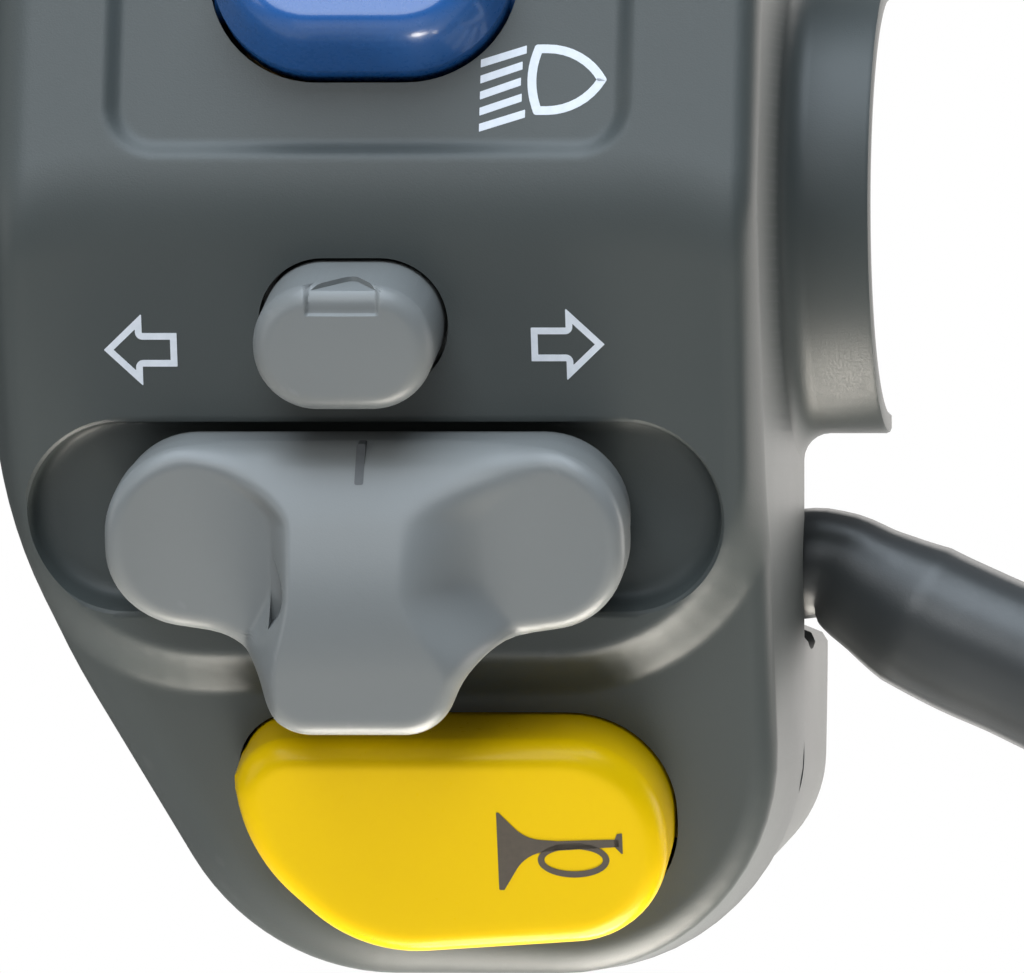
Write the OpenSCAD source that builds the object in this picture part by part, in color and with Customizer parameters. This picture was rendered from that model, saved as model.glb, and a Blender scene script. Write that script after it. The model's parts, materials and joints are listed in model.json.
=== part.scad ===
// Left-hand switch cluster for a motorbike handlebar: lights, hazard, turn signals and horn.
// X runs along the bar, -Y faces the rider and +Z is up. The origin is on the bar's axis.

/* [Handlebar] */
// Diameter of the handlebar that the halves close on
bar_d = 22.2; // [21.8:0.1:23]
// Wall of the half pipe round the bar, and of the collar
saddle_wall = 1.6; // [1.2:0.1:2]
// Length of the collar beyond the right-hand wall
collar_len = 5; // [2:0.5:8]

/* [Housing] */
// Width along the bar
body_w = 44; // [43:0.5:50]
// Height above the bar's axis
top_h = 28; // [27:0.5:32]
// Depth below the bar's axis
bottom_h = 43.5; // [43:0.5:47]
// Distance of the front crease from the bar's axis
crease_y = 27; // [26.5:0.5:30]
// Distance of the rear face from the bar's axis
rear_y = 16; // [15:0.5:20]
// Wall of both shells
wall = 2; // [1.6:0.1:2.4]
// How far the rear half is set back beside the bar, above the cable
rear_inset = 1.6; // [1:0.1:1.8]
// Rounding of the upright edge on the left of the front face; the right one has half of it
edge_r = 3; // [2:0.5:4]
// Lean of the upper face
upper_tilt = 14; // [10:1:16]
// Lean of the lower face
lower_tilt = 15; // [12:1:17]
// Lean of the horn face
horn_tilt = 20; // [17:1:22]
// Height of the ledge below the bar's axis
ledge_z = 25.4; // [25.2:0.1:25.8]
// How far the horn face steps back under the ledge
ledge_step = 3.6; // [3:0.1:4]
// Height of the step under the ledge
ledge_drop = 2.6; // [2:0.1:3]

/* [Dimmer rocker] */
// Width of the rocker
rocker_w = 17; // [14:0.5:18]
// Height of the rocker
rocker_h = 12.5; // [10:0.5:13]
// How far the rocker stands out
rocker_out = 4.6; // [3:0.1:6]
// Height of its centre up the face
rocker_v = 13.7; // [13:0.1:14]
// Distance of its middle to the right of the bar clamp's centre
rocker_x = -0.4; // [-0.8:0.1:0.4]
// Diameter of its pivot pin
pin_d = 2.5; // [2:0.1:3]

/* [Hazard button] */
// Width of the button
hazard_w = 10.2; // [8:0.1:11]
// Height of the button
hazard_h = 7.2; // [6:0.1:7.4]
// How far the button stands out
hazard_out = 6; // [4:0.5:8]
// Distance of its centre down the face
hazard_v = 7.1; // [6.9:0.1:7.2]
// Distance of its middle to the right of the bar clamp's centre
hazard_x = -0.8; // [-1.2:0.1:0]
// How far it pushes in
hazard_push = 2.5; // [1.5:0.1:2.5]

/* [Turn slider] */
// Length of the recess
recess_l = 39; // [38:0.5:40]
// Height of the recess
recess_h = 11.6; // [11:0.1:12]
// Depth of the recess
recess_depth = 2.2; // [1.8:0.1:2.4]
// Distance of the recess's centre down the face
turn_v = 18.2; // [18:0.1:18.4]
// Width of the thumb knob over both lobes
knob_w = 29.4; // [26:0.2:30]
// How far the knob stands out of the face
knob_out = 8; // [6:0.5:10]
// Travel of the slider to each side
turn_travel = 4; // [3:0.1:4]
// How far the knob pushes in to cancel
cancel_push = 1.5; // [1:0.1:1.5]

/* [Horn button] */
// Width of the button
horn_w = 24.4; // [23:0.1:25]
// Height of the button
horn_h = 12.8; // [11.5:0.1:13]
// How far the button stands out
horn_out = 5; // [3:0.5:7]
// Distance of its middle to the right of the bar clamp's centre
horn_x = 3.9; // [3.5:0.1:4.4]
// How far it pushes in
horn_push = 2.5; // [1.5:0.1:2.5]

/* [Cable] */
// Diameter of the sleeved cable
cable_d = 7.6; // [7:0.1:7.8]
// Depth of the cable exit below the bar's axis
cable_z = 20.4; // [20:0.1:21]
// Distance of the cable exit behind the parting plane
cable_y = 4; // [3.9:0.1:4.4]
// Radius of the hanging coil at the middle of its turns
coil_r = 42; // [40:0.5:46]
// Spare room between the coil's layers
coil_gap = 0.8; // [0.6:0.1:2]

/* [Hidden] */
$fn = 48;

// Clearances
run_fit = 0.04;     // radial, pin in a turning bore
slide_gap = 0.3;    // each side of a sliding piece
window_gap = 0.35;  // each side of a button in its window
rocker_gap = 0.5;   // above and below the rocker in its window
seat_gap = 0.05;    // radial, fixed piece in its bore
over = 1;           // how far a cut runs past a face

// Shared sizes of the small pieces
post_r = 1.9;       // posts that carry the switch bases
base_t = 2;         // thickness of a switch base
screw_r = 0.9;      // thread of a base screw
head_r = 1.7;
head_h = 1.2;
strip_t = 0.4;      // contact strip
wire_d = 0.5;       // spring wire
clamp_boss_r = 3.4;
clamp_screw_r = 1.9;
clamp_head_r = 3.4;
clamp_head_h = 2.4;
clamp_screw_len = 22;

// Derived places
bar_r = bar_d / 2;
saddle_r = bar_r + saddle_wall;
half_w = body_w / 2;
ledge_y = crease_y - ledge_z * tan(lower_tilt);
horn_y = ledge_y - ledge_step;
horn_z = ledge_z + ledge_drop;
foot_y = horn_y - (bottom_h - horn_z) * tan(horn_tilt);
brow_y = crease_y - top_h * tan(upper_tilt);
clamp_top_z = top_h - wall - clamp_boss_r - 1.2;
clamp_seat = rear_y - wall - clamp_head_h - over;   // where the clamp screws' heads sit
clamp_depth = clamp_screw_len - clamp_seat + over;  // depth of the screws' holes in the front half
// The two clamp screws: place along the bar, height and length of the front half's boss
clamp_spots = [[0, clamp_top_z, clamp_depth + wall], [-half_w / 2, -ledge_z - 0.6, horn_y - wall / 2]];
rib_t = 2;              // rib that ties the upper clamp boss to the top wall
pin_w = 3;              // depth of the rocker's pin under the face
dimmer_base_w = 10.5;   // depth of each base's upper side under its face
hazard_base_w = 8.5;
turn_base_w = 11.4;
horn_base_w = 9;
dimmer_post_x = 13;
hazard_post_x = 11;
turn_post_x = 15.4;
horn_post_x = horn_x + 5;
horn_post_v = [1.9, -(horn_h + 2.6)];
pan_w = recess_depth + wall;   // underside of the recess's floor
ear_t = 2;              // ears that hold the rocker's pin
ear_r = 2.4;
pin_l = rocker_w + 2 * (slide_gap + ear_t);
panel_w = 29;           // shallow panel round the rocker
panel_depth = 0.6;
panel_low = 2.8;
panel_h = (top_h - 1.4) / cos(upper_tilt) - panel_low;
stem_l = 7;             // stem of the thumb knob
stem_h = 4;
slot_l = stem_l + 2 * (turn_travel + slide_gap);
cable_r = cable_d / 2;
grommet_t = 1;
grommet_r = cable_r + grommet_t;
flange_x = half_w - rear_inset - wall;   // where the grommet's flange meets the rear half's wall
collar_fillet = 1.5;
collar_rim = 0.4;
pilot_l = 5;            // depth of the pilot hole in a post
base_screw_l = base_t + pilot_l - 0.4;

// Outline helpers
function unit(v) = v / norm(v);
function xy(p) = [p[0], p[1]];
function before(c, i) = xy(c[(i + len(c) - 1) % len(c)]);
function after(c, i) = xy(c[(i + 1) % len(c)]);
function turn(a) = a > 180 ? a - 360 : a < -180 ? a + 360 : a;
// Corner i, given as [x, y, radius], drawn as an arc
function corner_arc(c, i, n) =
    let (p = xy(c[i]), r = c[i][2], a = unit(before(c, i) - p), b = unit(after(c, i) - p))
    let (half = acos(a * b) / 2, t = r / tan(half), m = p + unit(a + b) * r / sin(half))
    let (s = p + a * t - m, e = p + b * t - m, a0 = atan2(s[1], s[0]))
    let (sweep = turn(atan2(e[1], e[0]) - a0))
    [for (k = [0:n]) m + r * [cos(a0 + sweep * k / n), sin(a0 + sweep * k / n)]];
function rounded(c, n = 6) = [for (i = [0:len(c) - 1]) each corner_arc(c, i, n)];
// Corners of a counter-clockwise outline moved inwards by d, with their radii kept concentric
function inset(c, d) = [for (i = [0:len(c) - 1])
    let (p = xy(c[i]), a = unit(before(c, i) - p), b = unit(after(c, i) - p))
    let (half = acos(a * b) / 2, side = cross(b, a) > 0 ? 1 : -1)
    let (q = p + unit(a + b) * side * d / sin(half))
    [q[0], q[1], max(c[i][2] - side * d, 0.4)]];
function box_corners(w, h, r) =
    [[-w / 2, -h / 2, r], [w / 2, -h / 2, r], [w / 2, h / 2, r], [-w / 2, h / 2, r]];

// Outline of the housing from the rider's side
function face_corners() = [[-half_w, -18.5, 14], [-8, -bottom_h, 9], [half_w, -bottom_h, 12],
    [half_w, top_h, 9], [-half_w, top_h, 9]];
// The rear half's outline steps back beside the bar, down to the underside of the cable
notch_z = -cable_z - cable_r;
function rear_face_corners() = [[-half_w, -18.5, 14], [-8, -bottom_h, 9], [half_w, -bottom_h, 12],
    [half_w, notch_z, 0.6], [half_w - rear_inset, notch_z, 0.6], [half_w - rear_inset, top_h, 8],
    [-half_w, top_h, 9]];
// Side profile of each half; back is how far it runs past the parting plane
function front_corners(back) = [[back, top_h, 0.01], [-brow_y, top_h, 3], [-crease_y, 0, 9],
    [-ledge_y, -ledge_z, 2.2], [-horn_y, -horn_z, 1.2], [-foot_y, -bottom_h, 5], [back, -bottom_h, 0.01]];
function rear_corners(back) = [[-back, -bottom_h, 0.01], [rear_y - 5, -bottom_h, 6], [rear_y, -20, 10],
    [rear_y, top_h, 8], [-back, top_h, 0.01]];
// Rounding of each half's upright edges seen from above; the other end runs past the parting plane
function plan_corners(y0, y1, left_r, right_r) = [[-half_w, y0, left_r], [half_w, y0, right_r],
    [half_w, y1, right_r], [-half_w, y1, left_r]];

// Outline of the horn button, flat on its face, from the middle of its top edge
function horn_corners() = [[-horn_w / 2, -horn_h / 2, 7], [-horn_w / 2 + 6.8, -horn_h - 0.2, 5],
    [horn_w / 2, -horn_h + 1, 5.6], [horn_w / 2, 0, 5.8], [-horn_w / 2, 0, 3.2]];
// Outline of the thumb knob from the recess's centre: two lobes and a tab below
lobe_r = 4.9;
tab_w = 9.8;        // width of the tab's end
tab_v = 10.7;       // reach of the tab below the recess's centre
waist_x = 6.6;
waist_v = lobe_r + 1.2;
function knob_corners() = [[-knob_w / 2, -lobe_r, lobe_r], [-waist_x, -waist_v, 4],
    [-tab_w / 2, -tab_v, 2], [tab_w / 2, -tab_v, 2], [waist_x, -waist_v, 4], [knob_w / 2, -lobe_r, lobe_r],
    [knob_w / 2, lobe_r, lobe_r], [-knob_w / 2, lobe_r, lobe_r]];

// Faces that carry the controls: local x along the bar, y up the face, z outwards
module lower_face() translate([0, -crease_y, 0]) rotate([90 + lower_tilt, 0, 0]) children();
module upper_face() translate([0, -crease_y, 0]) rotate([90 - upper_tilt, 0, 0]) children();
module horn_face() translate([0, -horn_y, -horn_z]) rotate([90 + horn_tilt, 0, 0]) children();
module dimmer_place() upper_face() translate([rocker_x, rocker_v, 0]) children();
module hazard_place() lower_face() translate([hazard_x, -hazard_v, 0]) children();
module turn_place() lower_face() translate([0, -turn_v, 0]) children();
module horn_place() horn_face() translate([horn_x, -0.9, 0]) children();

module slab(z0, z1) translate([0, 0, z0]) linear_extrude(z1 - z0) children();
module peg(r, z0, z1) translate([0, 0, z0]) cylinder(r = r, h = z1 - z0);
module along_bar(r, x0, x1) translate([x0, 0, 0]) rotate([0, 90, 0]) cylinder(r = r, h = x1 - x0);
module along_depth(r, y0, y1) translate([0, y1, 0]) rotate([90, 0, 0]) cylinder(r = r, h = y1 - y0);
module outline(corners) polygon(rounded(corners));
module plate(w, h, r) outline(box_corners(w, h, r));
module pair(x) for (s = [-1, 1]) translate([s * x, 0, 0]) children();

// Tube along points; ref is a direction that the path never runs along
function path_dir(p, i) = unit(p[min(i + 1, len(p) - 1)] - p[max(i - 1, 0)]);
module tube(p, r, sides, ref) {
    rings = [for (i = [0:len(p) - 1])
        let (t = path_dir(p, i), u = unit(cross(t, ref)), v = cross(t, u))
        for (k = [0:sides - 1]) p[i] + r * (u * cos(360 * k / sides) + v * sin(360 * k / sides))];
    last = (len(p) - 1) * sides;
    skin = [for (i = [0:len(p) - 2], k = [0:sides - 1])
        let (a = i * sides + k, b = i * sides + (k + 1) % sides)
        each [[a, a + sides, b], [b, a + sides, b + sides]]];
    caps = [for (k = [1:sides - 2]) each [[0, k, k + 1], [last, last + k + 1, last + k]]];
    polyhedron(rings, concat(skin, caps));
}
function helix(r, turns, h) = [for (i = [0:8 * turns])
    [r * cos(45 * i), r * sin(45 * i), wire_d / 2 + (h - wire_d) * i / (8 * turns)]];
module spring(r, turns, h) tube(helix(r, turns, h), wire_d / 2, 6, [0, 0, 1]);

// Self-tapping screw that holds a base from behind; local z 0 is the base's rear side
module base_screw(len) {
    peg(head_r, -head_h, 0);
    peg(screw_r, 0, len);
}

// Housing halves
module swept_shell(side_corners, face, y0, y1) intersection() {
    translate([-half_w - over, 0, 0]) rotate([90, 0, 90]) linear_extrude(body_w + 2 * over)
        outline(side_corners);
    translate([0, y1, 0]) rotate([90, 0, 0]) linear_extrude(y1 - y0) outline(face);
}
module front_solid(d) {
    back = d == 0 ? 0 : d + over;
    intersection() {
        swept_shell(inset(front_corners(back), d), inset(face_corners(), d), -crease_y, back);
        slab(-bottom_h, top_h) outline(inset(plan_corners(-crease_y, 4 * edge_r, edge_r, edge_r / 2), d));
    }
}
rear_r = 6;
module rear_solid(d) {
    back = d == 0 ? 0 : d + over;
    intersection() {
        swept_shell(inset(rear_corners(back), d), inset(rear_face_corners(), d), -back, rear_y);
        slab(-bottom_h, top_h) outline(inset(plan_corners(-4 * rear_r, rear_y, rear_r, rear_r), d));
    }
}
module half_saddle(x1, y0, y1) intersection() {
    along_bar(saddle_r, -half_w, x1);
    translate([-half_w, y0, -saddle_r]) cube([x1 + half_w, y1 - y0, 2 * saddle_r]);
}
// Half pipe beyond the right-hand wall, with a fillet at its root
module collar() rotate([0, 90, 0]) rotate([0, 0, 180]) rotate_extrude(angle = 180) polygon(concat(
    [[bar_r - over, half_w - wall], [saddle_r + collar_fillet, half_w - wall]],
    [for (a = [0:15:90]) [saddle_r, half_w] + collar_fillet * [1 - sin(a), 1 - cos(a)]],
    [[saddle_r, half_w + collar_len - collar_rim], [saddle_r - collar_rim, half_w + collar_len],
        [bar_r - over, half_w + collar_len]]));
module cable_hole() translate([0, cable_y, -cable_z]) along_bar(grommet_r, flange_x - over, half_w + over);
module at_clamp_spots() for (p = clamp_spots) translate([p[0], 0, p[1]]) children();

module front_posts() {
    dimmer_place() pair(dimmer_post_x) peg(post_r, -dimmer_base_w, -wall / 2);
    dimmer_place() pair(rocker_w / 2 + slide_gap + ear_t / 2)
        slab(-pin_w - ear_r, -wall / 2) plate(ear_t, 2 * ear_r, 0.2);
    hazard_place() pair(hazard_post_x) peg(post_r, -hazard_base_w, -wall / 2);
    turn_place() pair(turn_post_x) peg(post_r, -turn_base_w, -recess_depth - wall / 2);
    for (v = horn_post_v) horn_face() translate([horn_post_x, v, 0]) peg(post_r, -horn_base_w, -wall / 2);
}
module front_pilots() {
    dimmer_place() pair(dimmer_post_x) peg(screw_r, -dimmer_base_w - over, -dimmer_base_w + pilot_l);
    hazard_place() pair(hazard_post_x) peg(screw_r, -hazard_base_w - over, -hazard_base_w + pilot_l);
    turn_place() pair(turn_post_x) peg(screw_r, -turn_base_w - over, -turn_base_w + pilot_l);
    for (v = horn_post_v) horn_face() translate([horn_post_x, v, 0])
        peg(screw_r, -horn_base_w - over, -horn_base_w + pilot_l);
    dimmer_place() translate([0, 0, -pin_w]) along_bar(pin_d / 2 + seat_gap, -pin_l / 2, pin_l / 2);
    at_clamp_spots() along_depth(clamp_screw_r, -clamp_depth, over);
}

module front_housing() color("#4d5356") difference() {
    union() {
        difference() {
            front_solid(0);
            front_solid(wall);
        }
        intersection() {
            front_solid(0);
            union() {
                turn_place() slab(-pan_w, over)
                    plate(recess_l + 2 * wall, recess_h + 2 * wall, recess_h / 2 + wall - 0.1);
                front_posts();
                for (p = clamp_spots) translate([p[0], 0, p[1]]) along_depth(clamp_boss_r, -p[2], 0);
                translate([-rib_t / 2, -clamp_depth - wall, clamp_top_z])
                    cube([rib_t, clamp_depth + wall, top_h - wall / 2 - clamp_top_z]);
            }
        }
        half_saddle(half_w, -saddle_r, 0);
        collar();
    }
    along_bar(bar_r, -half_w - over, half_w + collar_len + over);
    dimmer_place() slab(-wall - over, over) plate(rocker_w + 2 * slide_gap, rocker_h + 2 * rocker_gap, 3);
    upper_face() translate([0, panel_low + panel_h / 2, 0]) slab(-panel_depth, over)
        plate(panel_w, panel_h, 2.6);
    hazard_place() slab(-pan_w - over, over)
        plate(hazard_w + 2 * window_gap, hazard_h + 2 * window_gap, 3.6);
    turn_place() slab(-recess_depth, 2 * over) plate(recess_l, recess_h, recess_h / 2 - 0.1);
    turn_place() slab(-pan_w - over, over) plate(slot_l, stem_h + 2 * slide_gap, 0.5);
    horn_place() slab(-wall - over, 2 * over) outline(inset(horn_corners(), -window_gap));
    cable_hole();
    front_pilots();
}

module rear_housing() color("#5a5f60") difference() {
    union() {
        difference() {
            rear_solid(0);
            rear_solid(wall);
        }
        intersection() {
            rear_solid(0);
            at_clamp_spots() along_depth(clamp_boss_r + wall, 0, rear_y);
        }
        half_saddle(half_w - rear_inset, 0, saddle_r);
    }
    along_bar(bar_r, -half_w - over, half_w + over);
    cable_hole();
    at_clamp_spots() along_depth(clamp_screw_r + slide_gap, -over, rear_y + over);
    at_clamp_spots() along_depth(clamp_head_r + slide_gap, clamp_seat, rear_y + over);
}

cross_l = 4;        // cross slot in the clamp screws' heads
cross_t = 0.9;
module clamp_screws() color("#b9bcc0") at_clamp_spots() difference() {
    union() {
        along_depth(clamp_head_r, clamp_seat, clamp_seat + clamp_head_h);
        along_depth(clamp_screw_r - seat_gap, clamp_seat - clamp_screw_len, clamp_seat + over / 2);
    }
    for (a = [0, 90]) rotate([0, a, 0])
        translate([-cross_l / 2, clamp_seat + clamp_head_h / 2, -cross_t / 2])
            cube([cross_l, clamp_head_h, cross_t]);
}

// Dimmer rocker on the upper face
rocker_step = 0.5;    // height where the rocker's walls begin to lean in
rocker_bevel = 1.6;   // height of the bevel round its face
rocker_draft = 1;     // how far the walls lean in
hub_r = 2.6;
plunger_r = 1.5;
well_top = pin_w + pin_d / 2 + 0.5;   // depth where the spring's well ends
well_end = 8;                          // depth where the stem ends
plunger_top = well_top + 1.9;
plunger_tip = dimmer_base_w - strip_t - slide_gap;

module dimmer_rocker() color("#2a5fa8") dimmer_place() difference() {
    union() {
        hull() {
            slab(-wall + 0.2, rocker_step) plate(rocker_w, rocker_h, 5);
            slab(rocker_out - rocker_bevel, rocker_out - rocker_bevel + 0.1)
                plate(rocker_w - 2 * rocker_draft, rocker_h - 2 * rocker_draft, 4);
            slab(rocker_step, rocker_out)
                plate(rocker_w - 4.6 * rocker_draft, rocker_h - 4.6 * rocker_draft, 2.6);
        }
        translate([0, 0, -pin_w]) along_bar(hub_r, -rocker_w / 2, rocker_w / 2);
        peg(hub_r, -well_end, -pin_w);
    }
    translate([0, 0, -pin_w]) along_bar(pin_d / 2 + run_fit, -rocker_w, rocker_w);
    peg(plunger_r + run_fit, -well_end - over, -well_top);
}
module dimmer_pin() color("#c6c8ca") dimmer_place() translate([0, 0, -pin_w])
    along_bar(pin_d / 2, -pin_l / 2, pin_l / 2);
module dimmer_spring() color("#d0d2d4") dimmer_place() translate([0, 0, -plunger_top])
    spring(1.1, 3, plunger_top - well_top);
module dimmer_plunger() color("#c9a24a") dimmer_place() {
    peg(plunger_r, -plunger_tip + plunger_r, -plunger_top);
    intersection() {
        translate([0, 0, -plunger_tip + plunger_r]) sphere(plunger_r);
        peg(plunger_r + over, -plunger_tip, -plunger_tip + plunger_r);
    }
}
dimmer_strip_l = 3.6;   // contact strips under the plunger
dimmer_strip_h = 8.6;
module dimmer_contacts() color("#c98b4a") dimmer_place() for (x = [-6, 0, 6])
    translate([x, 0, 0]) slab(-dimmer_base_w, -dimmer_base_w + strip_t)
        plate(dimmer_strip_l, dimmer_strip_h, 0.6);
module dimmer_base() color("#3a3026") dimmer_place() difference() {
    slab(-dimmer_base_w - base_t, -dimmer_base_w)
        plate(2 * (dimmer_post_x + post_r + 0.6), dimmer_strip_h + base_t, 2);
    pair(dimmer_post_x) peg(screw_r + seat_gap, -dimmer_base_w - base_t - over, over - dimmer_base_w);
}
module dimmer_screws() color("#c0c3c6") dimmer_place() pair(dimmer_post_x)
    translate([0, 0, -dimmer_base_w - base_t]) base_screw(base_screw_l);

// Hazard button on the lower face
guide_r = 2;
flange_w = 3.3;    // depth of the underside of a button's flange
lug_w = 1.3;       // how far the retaining lugs reach past a button's side
module hazard_button() color("#878d92") hazard_place() difference() {
    union() {
        slab(-wall - slide_gap, hazard_out) plate(hazard_w, hazard_h, 3.4);
        slab(-flange_w, -wall - slide_gap) plate(hazard_w + 2 * lug_w, hazard_h - 1.6, 1.6);
        peg(guide_r, -hazard_base_w - 1.5, -flange_w);
    }
    translate([0, hazard_h / 2 - 1.2, hazard_out - 0.5]) slab(0, over) difference() {
        plate(4, 3, 0.1);
        plate(3.2, 2.2, 0.1);
    }
}
module hazard_spring() color("#d0d2d4") hazard_place() translate([0, 0, -hazard_base_w])
    spring(guide_r + 0.8, 4, hazard_base_w - flange_w - strip_t);
module hazard_bridge() color("#c98b4a") hazard_place() slab(-flange_w - strip_t, -flange_w) difference() {
    plate(hazard_w + 2, hazard_h - 2, 1);
    circle(guide_r + seat_gap);
}
contact_h = hazard_base_w - flange_w - strip_t - hazard_push - slide_gap;
module hazard_contacts() color("#c98b4a") hazard_place() pair(4.6)
    slab(-hazard_base_w, -hazard_base_w + contact_h) plate(1.6, 5, 0.3);
module hazard_base() color("#3a3026") hazard_place() difference() {
    slab(-hazard_base_w - base_t, -hazard_base_w)
        plate(2 * (hazard_post_x + post_r + 0.6), hazard_h + 1.4, 2);
    peg(guide_r + slide_gap / 2, -hazard_base_w - base_t - over, over - hazard_base_w);
    pair(hazard_post_x) peg(screw_r + seat_gap, -hazard_base_w - base_t - over, over - hazard_base_w);
}
module hazard_screws() color("#c0c3c6") hazard_place() pair(hazard_post_x)
    translate([0, 0, -hazard_base_w - base_t]) base_screw(base_screw_l);

// Turn slider in the recess
stem_end = 6.4;                                             // depth of the stem's end
knob_low = recess_depth - cancel_push - slide_gap;          // depth of the knob's underside
tab_low = cancel_push + slide_gap;                          // underside of the tab over the ledge
carriage_l = 14;
carriage_h = 8.4;
carriage_top = pan_w + slide_gap;
carriage_end = turn_base_w - strip_t - slide_gap - strip_t;
pocket_end = carriage_end - 0.9;
cross_pin_r = 0.8;
cross_pin_w = stem_end - 0.9;

module turn_knob() color("#8b9095") turn_place() difference() {
    union() {
        slab(tab_low, knob_out) outline(knob_corners());
        slab(-knob_low, tab_low + over) plate(knob_w - 2, 2 * lobe_r - 0.6, lobe_r - 0.4);
        slab(-stem_end, 0) plate(stem_l, stem_h, 0.3);
    }
    for (s = [-1, 1]) translate([s * 9.8, 3, knob_out + 6.2]) scoop();
    translate([0, 0, -cross_pin_w]) rotate([90, 0, 0])
        cylinder(r = cross_pin_r + seat_gap, h = carriage_h, center = true);
}
module scoop() translate([0, -recess_h, 0]) rotate([-90, 0, 0])
    cylinder(r = 8.4, h = 3 * recess_h, $fn = 64);
module turn_retaining_pin() color("#c6c8ca") turn_place() translate([0, 0, -cross_pin_w]) rotate([90, 0, 0])
    cylinder(r = cross_pin_r, h = carriage_h - 0.6, center = true);
module turn_cancel_spring() color("#d0d2d4") turn_place() translate([0, 0, -pocket_end])
    spring(1.4, 3, pocket_end - stem_end);
module turn_carriage() color("#2e3133") turn_place() difference() {
    slab(-carriage_end, -carriage_top) plate(carriage_l, carriage_h, 0.6);
    slab(-pocket_end, over) plate(stem_l + 0.4, stem_h + 0.4, 0.3);
    translate([0, 0, -cross_pin_w - cancel_push - cross_pin_r - slide_gap])
        slab(0, cancel_push + 2 * (cross_pin_r + slide_gap))
            plate(2 * (cross_pin_r + slide_gap), carriage_h + over, 0.2);
}
centering_w = (carriage_top + carriage_end) / 2;
centering_l = turn_post_x - post_r - carriage_l / 2 - 0.2;
module centering_spring() translate([carriage_l / 2 + 0.1, 0, -centering_w]) rotate([0, 90, 0])
    spring(1.6, 4, centering_l);
module turn_left_spring() color("#d0d2d4") turn_place() mirror([1, 0, 0]) centering_spring();
module turn_right_spring() color("#d0d2d4") turn_place() centering_spring();
wiper_l = 10;
wiper_h = 5;
module turn_wiper() color("#c98b4a") turn_place()
    slab(-carriage_end - strip_t, -carriage_end) plate(wiper_l, wiper_h, 0.5);
turn_strip_l = 4.4;
turn_strip_pitch = 8;
module turn_contacts() color("#c98b4a") turn_place() for (x = turn_strip_pitch * [-1, 0, 1])
    translate([x, 0, 0]) slab(-turn_base_w, -turn_base_w + strip_t) plate(turn_strip_l, wiper_h + 1, 0.5);
rail_t = 1;
module turn_base() color("#3a3026") turn_place() difference() {
    union() {
        slab(-turn_base_w - base_t, -turn_base_w)
            plate(2 * (turn_post_x + post_r + 0.3), carriage_h + 2 * (slide_gap + rail_t), 2);
        for (s = [-1, 1]) translate([0, s * (carriage_h / 2 + slide_gap + rail_t / 2), 0])
            slab(-turn_base_w - base_t / 2, -pan_w) plate(carriage_l + 2 * turn_travel, rail_t, 0.2);
    }
    pair(turn_post_x) peg(screw_r + seat_gap, -turn_base_w - base_t - over, over - turn_base_w);
}
module turn_screws() color("#c0c3c6") turn_place() pair(turn_post_x)
    translate([0, 0, -turn_base_w - base_t]) base_screw(base_screw_l);

// Horn button on the stepped-back face
horn_stem_v = -horn_h / 2;
module horn_button() color("#e0b80c") horn_place() {
    slab(-wall - slide_gap, horn_out - 1.4) outline(horn_corners());
    slab(horn_out - 1.5, horn_out) outline(inset(horn_corners(), 1.2));
    slab(-flange_w, -wall - slide_gap) intersection() {
        outline(inset(horn_corners(), -lug_w));
        translate([0, horn_stem_v]) square([2 * horn_w, 4], center = true);
    }
    slab(-flange_w, -wall) outline(horn_corners());
    translate([0, horn_stem_v, 0]) peg(guide_r, -horn_base_w - 0.5, -flange_w);
}
module horn_spring() color("#d0d2d4") horn_place() translate([0, horn_stem_v, -horn_base_w])
    spring(guide_r + 0.8, 4, horn_base_w - flange_w - strip_t);
horn_bridge_l = 16;
horn_bridge_h = 7;
module horn_bridge() color("#c98b4a") horn_place() translate([0, horn_stem_v, 0])
    slab(-flange_w - strip_t, -flange_w) difference() {
        plate(horn_bridge_l, horn_bridge_h, 1);
        circle(guide_r + seat_gap);
    }
horn_contact_h = horn_base_w - flange_w - strip_t - horn_push - slide_gap;
module horn_contacts() color("#c98b4a") horn_place() translate([0, horn_stem_v, 0]) pair(5.6)
    slab(-horn_base_w, -horn_base_w + horn_contact_h) plate(2.4, 5, 0.3);
module horn_base() color("#3a3026") difference() {
    horn_face() slab(-horn_base_w - base_t, -horn_base_w) {
        translate([horn_x, horn_stem_v - 0.9]) plate(horn_bridge_l, horn_bridge_h + base_t, 2);
        translate([horn_post_x, (horn_post_v[0] + horn_post_v[1]) / 2])
            plate(2 * post_r, horn_post_v[0] - horn_post_v[1] + 2 * post_r, post_r - 0.1);
    }
    horn_place() translate([0, horn_stem_v, 0])
        peg(guide_r + slide_gap / 2, -horn_base_w - base_t - over, over - horn_base_w);
    for (v = horn_post_v) horn_face() translate([horn_post_x, v, 0])
        peg(screw_r + seat_gap, -horn_base_w - base_t - over, over - horn_base_w);
}
module horn_screws() color("#c0c3c6") for (v = horn_post_v) horn_face()
    translate([horn_post_x, v, -horn_base_w - base_t]) base_screw(base_screw_l);

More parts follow.
